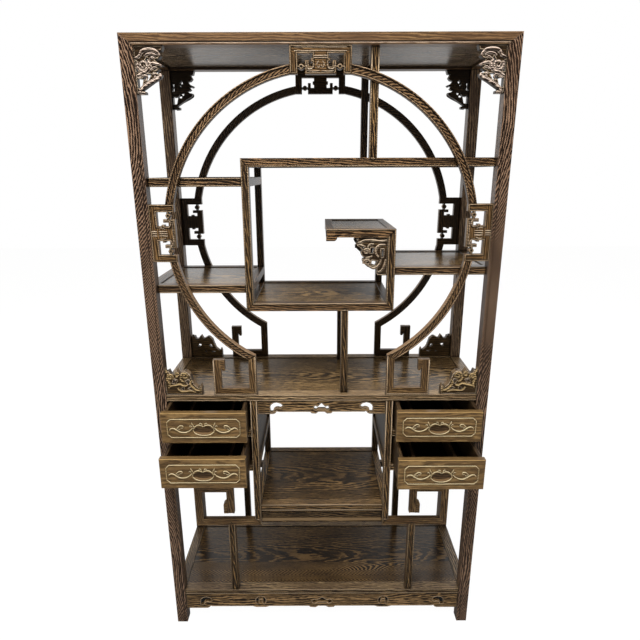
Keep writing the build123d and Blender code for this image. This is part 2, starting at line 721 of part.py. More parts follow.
guide_width = DRAWER_GAP + SIDE_INSET - GUIDE_GAP
case_front_rails = [
    beaded_rail(block(INNER_UPRIGHT, INNER, SLIM_SET, SLIM_BACK, z, z + CASE_RAIL), z, z + CASE_RAIL, SLIM_SET)
    for z in (CASE_BOTTOM, DIVIDER_BOTTOM)
]
case_back_rail = to_back(case_front_rails[0])
d0, d1 = SLIM_BACK, DEPTH - SLIM_BACK
inner_low_rail = block(INNER_UPRIGHT_IN, INNER_UPRIGHT, d0, d1, CASE_BOTTOM, CASE_FLOOR)
inner_high_rail = block(INNER_UPRIGHT_IN, INNER_UPRIGHT, d0, d1, MIDDLE_LOW - CASE_RAIL, MIDDLE_LOW)
outer_low_rail = block(INNER + RAIL_SET, HALF - RAIL_SET, POST, DEPTH - POST, CASE_BOTTOM, CASE_FLOOR)

inner_side_x = INNER_UPRIGHT - (SLIM - CASE_PANEL) / 2 - CASE_PANEL
outer_side_x = INNER + (POST - CASE_PANEL) / 2
panel_low, panel_high = CASE_FLOOR - TONGUE, MIDDLE_LOW - CASE_RAIL + TONGUE
inner_side_panel = block(inner_side_x, inner_side_x + CASE_PANEL, d0 - TONGUE, d1 + TONGUE,
                         panel_low, panel_high)
outer_side_panel = block(outer_side_x, outer_side_x + CASE_PANEL, POST - TONGUE, DEPTH - POST + TONGUE,
                         panel_low, MIDDLE_LOW + TONGUE)
back_d = DEPTH - SLIM_SET - (SLIM_DEPTH + CASE_PANEL) / 2
back_panel = block(INNER_UPRIGHT - TONGUE, INNER + TONGUE, back_d, back_d + CASE_PANEL,
                   panel_low, MIDDLE_LOW + TONGUE)
case_panels = [inner_side_panel, outer_side_panel, back_panel]
case_rails = case_front_rails + [case_back_rail, inner_low_rail, inner_high_rail, outer_low_rail]


def housed(piece, *panels):
    """A member with the grooves that the edges of its panels seat in."""
    for panel in panels:
        for side in (panel, to_left(panel)):
            piece -= side
    return piece


case_rails = [housed(rail, *case_panels) for rail in case_rails]
middle_frame = [housed(rail, outer_side_panel, back_panel) for rail in middle_frame]
posts = [housed(piece, outer_side_panel, back_panel) for piece in posts]
inner_uprights = [housed(piece, inner_side_panel, back_panel) for piece in four(inner_upright)]
runners = []
for floor in (CASE_FLOOR, DIVIDER_TOP):
    runners += [runner(INNER_UPRIGHT, 1, floor, d0, d1), runner(INNER, -1, floor, d0, d1)]

for name, piece in zip(("front_right", "front_left", "back_right", "back_left"), posts):
    save(f"{name}_post", piece)
save("middle_shelf_frame", middle_frame)
save("middle_shelf_panel", middle_panel)
save("inner_uprights", inner_uprights)
save("drawer_case_rails", [[rail, to_left(rail)] for rail in case_rails])
save("drawer_case_panels", [[panel, to_left(panel)] for panel in case_panels])
save("drawer_runners", [[strip, to_left(strip)] for strip in runners])
save("panel_battens",
     battens((-INNER / 2, 0, INNER / 2), MIDDLE_TOP, POST - RAIL_SET),
     battens((-INNER / 2, 0, INNER / 2), BASE_TOP, POST - RAIL_SET),
     battens((0,), LOWER_TOP, SLIM_BACK))


# ---------------------------------------------------------------- aprons
def on_side(face, u, w):
    """A piercing drawn for the right half, put at u and w, or its mirror image where u is on the left."""
    return Pos(u, w) * (face if u > 0 else mirror(face, about=Plane.YZ))


def cloud():
    """Cloud piercing whose long tail points away from the middle of the apron."""
    points = [(-20, 8), (-12, 1), (0, -2), (10, 0), (17, 5), (20, 12), (19, 24), (11, 24), (9, 17), (3, 13),
              (-4, 12), (-12, 14)]
    return outline(*[(u * CLOUD_WIDE / 40, w * CLOUD_HIGH / 24) for u, w in points])


def crest(reach):
    """Peaked piercing in the middle of an apron, with an arm to each side."""
    arm = [(0.5, 0.55), (0.8, 0.4), (1.0, 0.65), (0.9, 0.95), (0.65, 1.0), (0.45, 0.8)]
    right = [(u * reach, w * CREST_HIGH) for u, w in arm]
    return outline((0, 0), *right, (0, 0.8 * CREST_HIGH), *[(-u, w) for u, w in reversed(right)])


def broken_ring():
    """Round piercing that leaves a disc standing, open below towards the middle of the apron."""
    r = BROKEN_RING
    gap = outline((-0.35 * r, 0.2 * r), (-r, 1.2 * r), (r, 1.2 * r), (0.4 * r, 0.3 * r))
    return RegularPolygon(r, 14) - RegularPolygon(0.54 * r, 10) - gap


def both_halves(*points):
    """Face from its right half, which starts and ends on the middle line."""
    return outline(*points, *[(-u, w) for u, w in points[-2:0:-1]])


def apron_end(half, end, w):
    """Right end of an apron's lower edge: a deep lobe that is carved back to the straight at w."""
    lobe = [(half, w + APRON_DROP), (end, w + APRON_DROP), (end - 7, w + 4), (end - 11, w - 2), (end - 17, w)]
    return [(half, 0), *lobe]


def apron_swell(u, wide, w):
    """Shallow swelling of the lower edge under a piercing."""
    low, flat = w + APRON_SWELL, wide * 0.6
    return [(u + wide, w), (u + flat, low), (u - flat, low), (u - wide, w)]


def apron_middle(wide, w):
    """Right half of the swelling under the crest."""
    return [(wide, w), (wide * 0.88, w + 5), (wide * 0.5, w + 6), (wide * 0.28, w), (0, w)]


def centre_apron():
    """Pierced apron under the middle shelf, u across from its centre and w down."""
    w, end, crown = CENTRE_APRON, INNER_UPRIGHT_IN - CENTRE_LOBE, CENTRE_APRON * 0.26
    face = both_halves((0, 0), *apron_end(INNER_UPRIGHT_IN, end, w), *apron_middle(CENTRE_MIDDLE, w))
    for s in (-1, 1):
        face -= on_side(cloud(), s * (end - 11), crown)
    return face - Pos(0, crown) * crest(CENTRE_MIDDLE * 0.7)


def base_apron():
    """Pierced apron under the base shelf."""
    w, end, ring_u, crown = BASE_APRON, INNER - BASE_LOBE, INNER - BASE_RING_GAP, BASE_APRON * 0.38
    face = both_halves((0, 0), *apron_end(INNER, end, w), *apron_swell(ring_u, BROKEN_RING * 1.7, w),
                       *apron_middle(BASE_MIDDLE, w))
    for s in (-1, 1):
        face -= on_side(cloud(), s * (end + 2), crown)
        face -= on_side(broken_ring(), s * ring_u, w * 0.6)
    return face - Pos(0, crown) * crest(BASE_MIDDLE * 0.76)


def side_apron():
    """Plain apron between a front and a back post, u along the depth from the front post."""
    span, w = DEPTH - 2 * POST, BASE_APRON
    low, near, far = w + APRON_DROP, SIDE_LOBE, SIDE_LOBE + APRON_DROP
    face = lobed([(0, 0, 0), (span, 0, 0), (span, low, 0), (span - near, low, QUARTER_BULGE),
                  (span - far, w, 0), (far, w, QUARTER_BULGE), (near, low, 0), (0, low, 0)])
    return Pos(POST, BASE_LOW) * mirror(face, about=Plane.XZ)


def hung(face, z):
    return slab(Pos(0, z) * mirror(face, about=Plane.XZ), APRON_SET, APRON_SET + APRON_THICK)


def cove_apron():
    """Hollow-faced apron under the lower shelf, between two straight lips."""
    low, high = LOWER_TOP - RAIL - COVE_APRON, LOWER_TOP - RAIL
    near, far = SLIM_SET + RAIL_SET, SLIM_SET + COVE_THICK
    upper, lower = (near, high - COVE_LIP), (near, low + COVE_LIP)
    face = make_face([
        ThreePointArc(upper, (SLIM_SET + COVE_HOLLOW, (high + low) / 2), lower),
        Polyline(lower, (near, low), (far, low), (far, high), (near, high), upper),
    ])
    return section(face, -INNER_UPRIGHT_IN, INNER_UPRIGHT_IN)


side_x = HALF - APRON_SET - APRON_THICK
side_piece = section(side_apron(), side_x, side_x + APRON_THICK)
save("centre_aprons", both_faces(hung(centre_apron(), MIDDLE_LOW)))
save("base_aprons", both_faces(hung(base_apron(), BASE_LOW)), side_piece, to_left(side_piece))
save("lower_shelf_aprons", both_faces(cove_apron()))


# ---------------------------------------------------------------- drawers
def drawer(floor):
    """Right-hand drawer, pushed in, for the opening above floor: its front, then the two sides, the
    back and two low partitions, then the bottom."""
    x0, x1 = INNER_UPRIGHT + DRAWER_GAP, INNER - DRAWER_GAP
    high = floor + OPENING_HEIGHT - DRAWER_GAP
    near, far = DRAWER_SET, DRAWER_SET + DRAWER_LENGTH
    behind = near + FRONT_THICK
    front = block(x0, x1, near, behind, floor + DRAWER_GAP, high)
    front = chamfer(front.faces().sort_by(Axis.Y)[0].edges(), FRONT_EASE)
    middle_x, middle_z = (x0 + x1) / 2, (floor + high) / 2 - PULL_DROP
    hollow = Pos(middle_x, middle_z) * Ellipse(PULL_WIDTH / 2, PULL_HEIGHT / 2)
    front -= slab(hollow, near, near + PULL_DEPTH)
    low, top = floor + RUN_GAP, high - SIDE_DROP
    sides = [block(x, x + SIDE_THICK, behind - SIDE_HOUSING, far, low, top)
             for x in (x0 + SIDE_INSET, x1 - SIDE_INSET - SIDE_THICK)]
    left, right = x0 + SIDE_INSET + SIDE_THICK, x1 - SIDE_INSET - SIDE_THICK
    bottom_low = low + BOTTOM_RAISE
    inside_low = bottom_low + DRAWER_BOTTOM
    back = block(left, right, far - SIDE_THICK, far, inside_low, top - SIDE_DROP)
    inside_far, partition_top = far - SIDE_THICK, inside_low + PARTITION_HEIGHT
    partitions = [block(x, x + PARTITION_THICK, behind, inside_far, inside_low, partition_top)
                  for x in (left + PARTITION_INSET, right - PARTITION_INSET - PARTITION_THICK)]
    bottom = block(left - BOTTOM_TONGUE, right + BOTTOM_TONGUE, behind - BOTTOM_TONGUE, far,
                   bottom_low, bottom_low + DRAWER_BOTTOM)
    sides = [side - bottom for side in sides]
    front -= bottom
    for side in sides:
        front -= side
    return front, sides + [back] + partitions, bottom


lower_drawer, upper_drawer = drawer(CASE_FLOOR), drawer(DIVIDER_TOP)
for name, pieces, on_left, opened in (
    ("upper_left", upper_drawer, True, UPPER_LEFT_OPEN),
    ("upper_right", upper_drawer, False, UPPER_RIGHT_OPEN),
    ("lower_left", lower_drawer, True, LOWER_LEFT_OPEN),
    ("lower_right", lower_drawer, False, LOWER_RIGHT_OPEN),
):
    for part, shapes in zip(("front", "box", "bottom"), pieces):
        placed = [Pos(0, -opened, 0) * (to_left(solid) if on_left else solid) for solid in solids_of(shapes)]
        save(f"{name}_drawer_{part}", placed)
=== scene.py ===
import math

import bpy
from mathutils import Matrix, Vector


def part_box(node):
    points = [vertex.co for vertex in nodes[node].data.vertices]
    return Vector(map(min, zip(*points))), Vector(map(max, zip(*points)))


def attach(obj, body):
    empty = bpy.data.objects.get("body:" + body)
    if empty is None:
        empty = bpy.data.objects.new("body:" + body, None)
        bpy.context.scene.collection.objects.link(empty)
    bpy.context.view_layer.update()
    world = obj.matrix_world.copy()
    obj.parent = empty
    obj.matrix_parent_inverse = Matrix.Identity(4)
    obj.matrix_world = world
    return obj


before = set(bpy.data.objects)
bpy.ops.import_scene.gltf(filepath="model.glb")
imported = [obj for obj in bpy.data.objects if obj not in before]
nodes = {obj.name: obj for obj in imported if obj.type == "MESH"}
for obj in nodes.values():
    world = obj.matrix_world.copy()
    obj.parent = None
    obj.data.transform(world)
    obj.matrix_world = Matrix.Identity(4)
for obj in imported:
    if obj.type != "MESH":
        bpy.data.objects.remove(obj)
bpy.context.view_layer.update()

# The cabinet's frame of reference, in millimetres. Depths are measured from the front of the posts.
FRONT_Y = -111.0
DEPTH = 355.0
# half the width between the posts, the width of a post, and the height and lower edge of a top rail
INNER = 466.0
POST = 34.0
TOP_RAIL = 27.5
TOP_LOW = 1802.5
# top of the middle shelf, underside of the small one and inner face of the upright that carries it
MIDDLE_TOP = 858.0
SMALL_LOW = 1325.0
BOX_RIGHT_IN = 187.5
RING_Z = 1338.5
RING_RADIUS = 416.0
MM = 0.001

# how far the outward faces of the members stand behind the faces of the posts, at the front and the back
WIDE_FACE = 1.0
RING_FACE = 2.0
BRACKET_FACE = 5.0
APRON_FACE = 6.0
SLIM_FACE = 18.0
SMALL_BRACKET_FACE = 23.0

# The figure of the wood, in millimetres. First, how long and how wide the cells of each pattern are.
WANDER = (240.0, 60.0)
FEATHER = (26.0, 6.0)
FIBRE = (18.0, 1.5)
PATCH = (150.0, 55.0)
# the distance from tan line to tan line, and that of the finer lines as a share of it
PITCH = 5.4
FINE_SHARE = 0.43
# how far the layers wander in a stick and in an arched board, and how far they feather
STICK_WANDER = 22.0
BOARD_WANDER = 27.0
FEATHER_REACH = 6.5
# the slope of the growth layers across a stick
STICK_SLOPE = 0.8
# how far below and beside the pith of its log an arched board is sawn, and where its figure turns back
BELOW_PITH = 45.0
BESIDE_PITH = 50.0
LOG_REACH = 90.0
# the height where the swept grain of a post is back in its place, and the length of a full swing
SWING_AT = 1200.0
SWING_LENGTH = 1400.0
# the depths between which a herringbone figure fades out, and the width of its leaves
HERRINGBONE_NONE, HERRINGBONE_FULL = 130.0, 90.0
HERRINGBONE_LEAF = 22.0
# the rounding of a rubbed edge, the reach of the painted shade in a corner and the depth of a pore, in metres
RUBBED_EDGE = 0.0018
CORNER_SHADE_REACH = 0.006
PORE_DEPTH = 0.0004

# how bright the room in front of the cabinet and the pale one behind it are when the lacquer mirrors them
FRONT_ROOM = 0.08
BACK_ROOM = 0.5


def millimetres(x, d, z):
    """Point of the frame from X, depth and Z in millimetres."""
    return Vector((x * MM, (d + FRONT_Y) * MM, z * MM))


def linear(hex_colour):
    """Linear RGBA of an sRGB hex colour."""
    parts = [int(hex_colour[i:i + 2], 16) / 255 for i in (1, 3, 5)]
    return [c / 12.92 if c <= 0.04045 else ((c + 0.055) / 1.055) ** 2.4 for c in parts] + [1.0]


# ---------------------------------------------------------------- materials
def add(tree, kind, *inputs, **settings):
    """Adds a node. A setting is an attribute of the node. An input is a value, a socket to link or None."""
    node = tree.nodes.new("ShaderNode" + kind)
    for key, value in settings.items():
        setattr(node, key, value)
    for socket, value in zip(node.inputs, inputs):
        if isinstance(value, bpy.types.NodeSocket):
            tree.links.new(value, socket)
        elif value is not None:
            socket.default_value = value
    return node


def math_of(tree, operation, *values):
    """Result of a sum on values or sockets."""
    return add(tree, "Math", *values, operation=operation).outputs[0]


def grain_axes(tree, place, along):
    """Coordinates along the grain, across it and through it, in millimetres."""
    x, y, z = place.outputs
    order = {"X": (x, y, z), "Y": (y, x, z), "Z": (z, x, y)}[along]
    return add(tree, "CombineXYZ", *order).outputs[0]


def ring_axes(tree, place, centre_z, radius):
    """The same for bars that are sawn to a circle in the XZ plane."""
    x, y, z = place.outputs
    up = math_of(tree, "SUBTRACT", z, centre_z)
    angle = math_of(tree, "ARCTAN2", up, x)
    squares = math_of(tree, "MULTIPLY_ADD", x, x, math_of(tree, "MULTIPLY", up, up))
    out = math_of(tree, "SQRT", squares)
    return add(tree, "CombineXYZ", math_of(tree, "MULTIPLY", angle, radius), out, y).outputs[0]


def inside(tree, place, region):
    """1 inside a region, else 0. A region is a list of (share of |X|, of depth, of Z, least sum), and all
    its sums have to be reached."""
    x, y, z = place.outputs
    away = math_of(tree, "ABSOLUTE", x)
    depth = math_of(tree, "SUBTRACT", y, FRONT_Y)
    found = None
    for of_x, of_d, of_z, least in region:
        total = math_of(tree, "MULTIPLY_ADD", depth, of_d, math_of(tree, "MULTIPLY", z, of_z))
        total = math_of(tree, "MULTIPLY_ADD", away, of_x, total)
        test = math_of(tree, "GREATER_THAN", total, least)
        found = test if found is None else math_of(tree, "MULTIPLY", found, test)
    return found


def stretched_noise(tree, grain, along, across, detail, rough=0.5):
    """Noise whose cells are so many millimetres long along the grain and so many across it."""
    scaled = add(tree, "Mapping", grain, None, None, (1 / along, 1 / across, 1 / across)).outputs[0]
    return add(tree, "TexNoise", scaled, None, 1.0, detail, rough, noise_dimensions="3D").outputs[0]


def growth_layers(tree, grain, lean, arched, sweep, chevron):
    """Distance through the growth layers of a piece, in millimetres, from its coordinates in the grain."""
    a, b, c = add(tree, "SeparateXYZ", grain).outputs
    wander = stretched_noise(tree, grain, *WANDER, 2.0)
    feather = stretched_noise(tree, grain, *FEATHER, 2.0)
    if arched:
        low = math_of(tree, "MULTIPLY_ADD", a, lean, math_of(tree, "PINGPONG", c, LOG_REACH))
        low = math_of(tree, "ADD", low, BELOW_PITH)
        side = math_of(tree, "SUBTRACT", b, BESIDE_PITH)
        squares = math_of(tree, "MULTIPLY_ADD", low, low, math_of(tree, "MULTIPLY", side, side))
        layers = math_of(tree, "MULTIPLY_ADD", wander, BOARD_WANDER, math_of(tree, "SQRT", squares))
    else:
        across = math_of(tree, "ADD", b, c)
        layers = math_of(tree, "MULTIPLY_ADD", across, STICK_SLOPE, math_of(tree, "MULTIPLY", a, lean))
        layers = math_of(tree, "MULTIPLY_ADD", wander, STICK_WANDER, layers)
    if sweep:
        turn = math_of(tree, "SUBTRACT", a, SWING_AT)
        swing = math_of(tree, "SINE", math_of(tree, "MULTIPLY", turn, 2 * math.pi / SWING_LENGTH))
        layers = math_of(tree, "MULTIPLY_ADD", swing, -sweep, layers)
    layers = math_of(tree, "MULTIPLY_ADD", feather, FEATHER_REACH, layers)
    if chevron:
        depth = math_of(tree, "SUBTRACT", b, FRONT_Y)
        leaf = math_of(tree, "MULTIPLY", math_of(tree, "PINGPONG", b, HERRINGBONE_LEAF), 1.1)
        zigzag = math_of(tree, "MULTIPLY_ADD", a, 0.5, leaf)
        share = add(tree, "MapRange", depth, HERRINGBONE_NONE, HERRINGBONE_FULL, 0.0, 0.8).outputs[0]
        layers = math_of(tree, "MULTIPLY_ADD", share, math_of(tree, "SUBTRACT", zigzag, layers), layers)
    return layers


def wenge(name, along, turned=None, light="#9a7b53", middle="#493722", dark="#1d140c", lacquer=0.3,
          lean=0.06, contrast=1.0, arched=False, chevron=False, sweep=0.0, inward_shade=0.0, underside_shade=0.0):
    """Chicken-wing wood, a striped hardwood like wenge, sawn, planed and lacquered.

    A straight-grained stick shows the growth layers as near parallel lines on all its faces. An arched,
    flat-sawn board cuts the rings of one log, so it shows nested arches. Both are dark heartwood with fine
    tan lines that feather where the grain is interlocked. turned is the grain of the pieces of the same
    part that lie in some regions, lean the slope of the layers along the stick, sweep how far they swing
    to and fro in millimetres, and chevron sets a herringbone into the front of a board. lacquer is how
    rough the lacquer is.
    The last two arguments paint shade. The faces of the front and back members that turn inwards, towards the
    middle, are painted darker by the first share, and the faces of a bead or ridge that turn downwards by the
    second."""
    material = bpy.data.materials.new(name)
    material.use_nodes = True
    tree = material.node_tree
    tree.nodes.clear()
    spot = add(tree, "TexCoord").outputs["Object"]
    in_millimetres = add(tree, "VectorMath", spot, None, None, 1 / MM, operation="SCALE").outputs[0]
    place = add(tree, "SeparateXYZ", in_millimetres)
    if along == "RING":
        grain = ring_axes(tree, place, RING_Z, RING_RADIUS)
    else:
        grain = grain_axes(tree, place, along)
    if turned:
        other, regions = turned
        mask = None
        for region in regions:
            found = inside(tree, place, region)
            mask = found if mask is None else math_of(tree, "MAXIMUM", mask, found)
        mix = add(tree, "Mix", data_type="VECTOR")
        tree.links.new(mask, mix.inputs[0])
        tree.links.new(grain, mix.inputs[4])
        tree.links.new(grain_axes(tree, place, other), mix.inputs[5])
        grain = mix.outputs[1]

    # tan lines with finer ones between, fibres, and patches where the lines are stronger
    layers = growth_layers(tree, grain, lean, arched, sweep, chevron)
    coarse = math_of(tree, "SINE", math_of(tree, "MULTIPLY", layers, 2 * math.pi / PITCH))
    fine = math_of(tree, "SINE", math_of(tree, "MULTIPLY", layers, 2 * math.pi / (FINE_SHARE * PITCH)))
    fibre = stretched_noise(tree, grain, *FIBRE, 3.0, 0.7)
    patch = stretched_noise(tree, grain, *PATCH, 1.0)
    tone = math_of(tree, "MULTIPLY_ADD", coarse, math_of(tree, "MULTIPLY", patch, 0.75 * contrast), 0.47)
    tone = math_of(tree, "MULTIPLY_ADD", fine, 0.1 * contrast, tone)
    tone = math_of(tree, "MULTIPLY_ADD", math_of(tree, "SUBTRACT", fibre, 0.5), 0.8 * contrast, tone)
    tone = math_of(tree, "MULTIPLY_ADD", math_of(tree, "SUBTRACT", patch, 0.5), 0.3, tone)
    ramp = add(tree, "ValToRGB", tone)
    stops = ramp.color_ramp.elements
    stops[0].position, stops[0].color = 0.14, linear(dark)
    stops[1].position, stops[1].color = 0.88, linear(light)
    stops.new(0.52).color = linear(middle)
    colour = ramp.outputs[0]

    # lighter along the edges, partly where the lacquer wears thin and partly as a painted highlight, and a
    # painted highlight on faces that tilt upwards, such as the upper slope of a carved ridge
    geometry = add(tree, "NewGeometry")
    normal = geometry.outputs["Normal"]
    soft = add(tree, "Bevel", RUBBED_EDGE, samples=4).outputs[0]
    facing = add(tree, "VectorMath", soft, normal, operation="DOT_PRODUCT").outputs["Value"]
    edge_wear_and_highlight = add(tree, "MapRange", facing, 0.99, 0.9, 0.0, 1.0).outputs[0]
    edge_wear_and_highlight = math_of(tree, "MULTIPLY", edge_wear_and_highlight, math_of(tree, "MULTIPLY_ADD", patch, 0.8, 0.25))
    _, facing_back, facing_up = add(tree, "SeparateXYZ", normal).outputs
    edge_wear_and_highlight = math_of(tree, "MAXIMUM", edge_wear_and_highlight, math_of(tree, "COMPARE", facing_up, 0.65, 0.3))
    colour = blend_colour(tree, edge_wear_and_highlight, colour, linear(light), "MIX")

    # painted shade in the corners, on the inward faces and under the ridges
    corner = add(tree, "AmbientOcclusion", None, CORNER_SHADE_REACH, samples=6).outputs["AO"]
    shade = add(tree, "MapRange", corner, 0.5, 0.95, 0.12, 1.0).outputs[0]
    if inward_shade:
        from_middle = math_of(tree, "SUBTRACT", place.outputs[1], FRONT_Y + DEPTH / 2)
        inward = math_of(tree, "LESS_THAN", math_of(tree, "MULTIPLY", from_middle, facing_back), -60.0)
        shade = math_of(tree, "MULTIPLY", shade, math_of(tree, "MULTIPLY_ADD", inward, -inward_shade, 1.0))
    if underside_shade:
        below = add(tree, "MapRange", facing_up, -0.75, 0.0, 1.0 - underside_shade, 1.0).outputs[0]
        shade = math_of(tree, "MULTIPLY", shade, below)
    colour = blend_colour(tree, 1.0, colour, shade, "MULTIPLY")

    # open pores and the rings stand in low relief under the lacquer
    relief = math_of(tree, "MULTIPLY_ADD", fibre, 0.6, math_of(tree, "MULTIPLY", tone, 0.5))
    bump = add(tree, "Bump")
    bump.inputs["Strength"].default_value = 0.35
    bump.inputs["Distance"].default_value = PORE_DEPTH
    tree.links.new(relief, bump.inputs["Height"])
    tree.links.new(soft, bump.inputs["Normal"])
    gloss = math_of(tree, "MULTIPLY_ADD", fibre, 0.16, lacquer - 0.08)
    gloss = math_of(tree, "MULTIPLY_ADD", edge_wear_and_highlight, 0.15, gloss)

    shader = add(tree, "BsdfPrincipled")
    tree.links.new(colour, shader.inputs["Base Color"])
    tree.links.new(gloss, shader.inputs["Roughness"])
    tree.links.new(bump.outputs[0], shader.inputs["Normal"])
    shader.inputs["IOR"].default_value = 1.5
    output = add(tree, "OutputMaterial")
    tree.links.new(shader.outputs[0], output.inputs[0])
    return material


def blend_colour(tree, factor, one, other, how):
    """Colour one mixed with, or multiplied by, the other."""
    mix = add(tree, "Mix", data_type="RGBA", blend_type=how)
    for socket, value in ((mix.inputs[0], factor), (mix.inputs[6], one), (mix.inputs[7], other)):
        if isinstance(value, bpy.types.NodeSocket):
            tree.links.new(value, socket)
        else:
            socket.default_value = value
    return mix.outputs[2]


# where the grain of a part turns: the new grain, and the regions (see inside) where it holds
SIDES_OF_TOP = ("Y", [[(1, 0, 0, 466), (1, 1, 0, 500), (1, -1, 0, 145)]])
SIDES_OF_WIDE_SHELF = ("Y", [[(1, 0, 0, 466)]])
ENDS_OF_SLIM_SHELF = ("Y", [[(0, 1, 0, 44), (0, -1, 0, -311)]])
ENDS_OF_CASE = ("Y", [[(0, 1, 0, 28.2), (0, -1, 0, -326.8)]])
UPRIGHTS_OF_FEET = ("Z", [[(-1, 0, 0, -215), (-1, 0, 1, 665)], [(1, 0, 0, 298), (1, 0, 1, 1178)]])
UPRIGHTS_OF_FRETS = ("Z", [[(1, 0, 0, 383), (1, 0, 1, 802), (1, 0, -1, -137)],
                           [(-1, 0, 0, -305), (-1, 0, -1, -825), (0, 0, 1, 425)]])
UPRIGHTS_OF_TOP_KEYS = ("Z", [[(1, 0, 0, 58), (0, 0, -1, -1782)]])
LEVELS_OF_SIDE_KEYS = ("X", [[(0, 0, 1, 1396.5), (-1, 0, 0, -446)], [(0, 0, -1, -1280.5), (-1, 0, 0, -446)]])
BACK_OF_CASE = ("X", [[(0, 1, 0, 335.5)]])
SIDES_OF_BASE_APRONS = ("Y", [[(1, 0, 0, 470)]])
BACK_OF_DRAWER = ("X", [[(1, 0, 0, 234), (-1, 0, 0, -448)]])

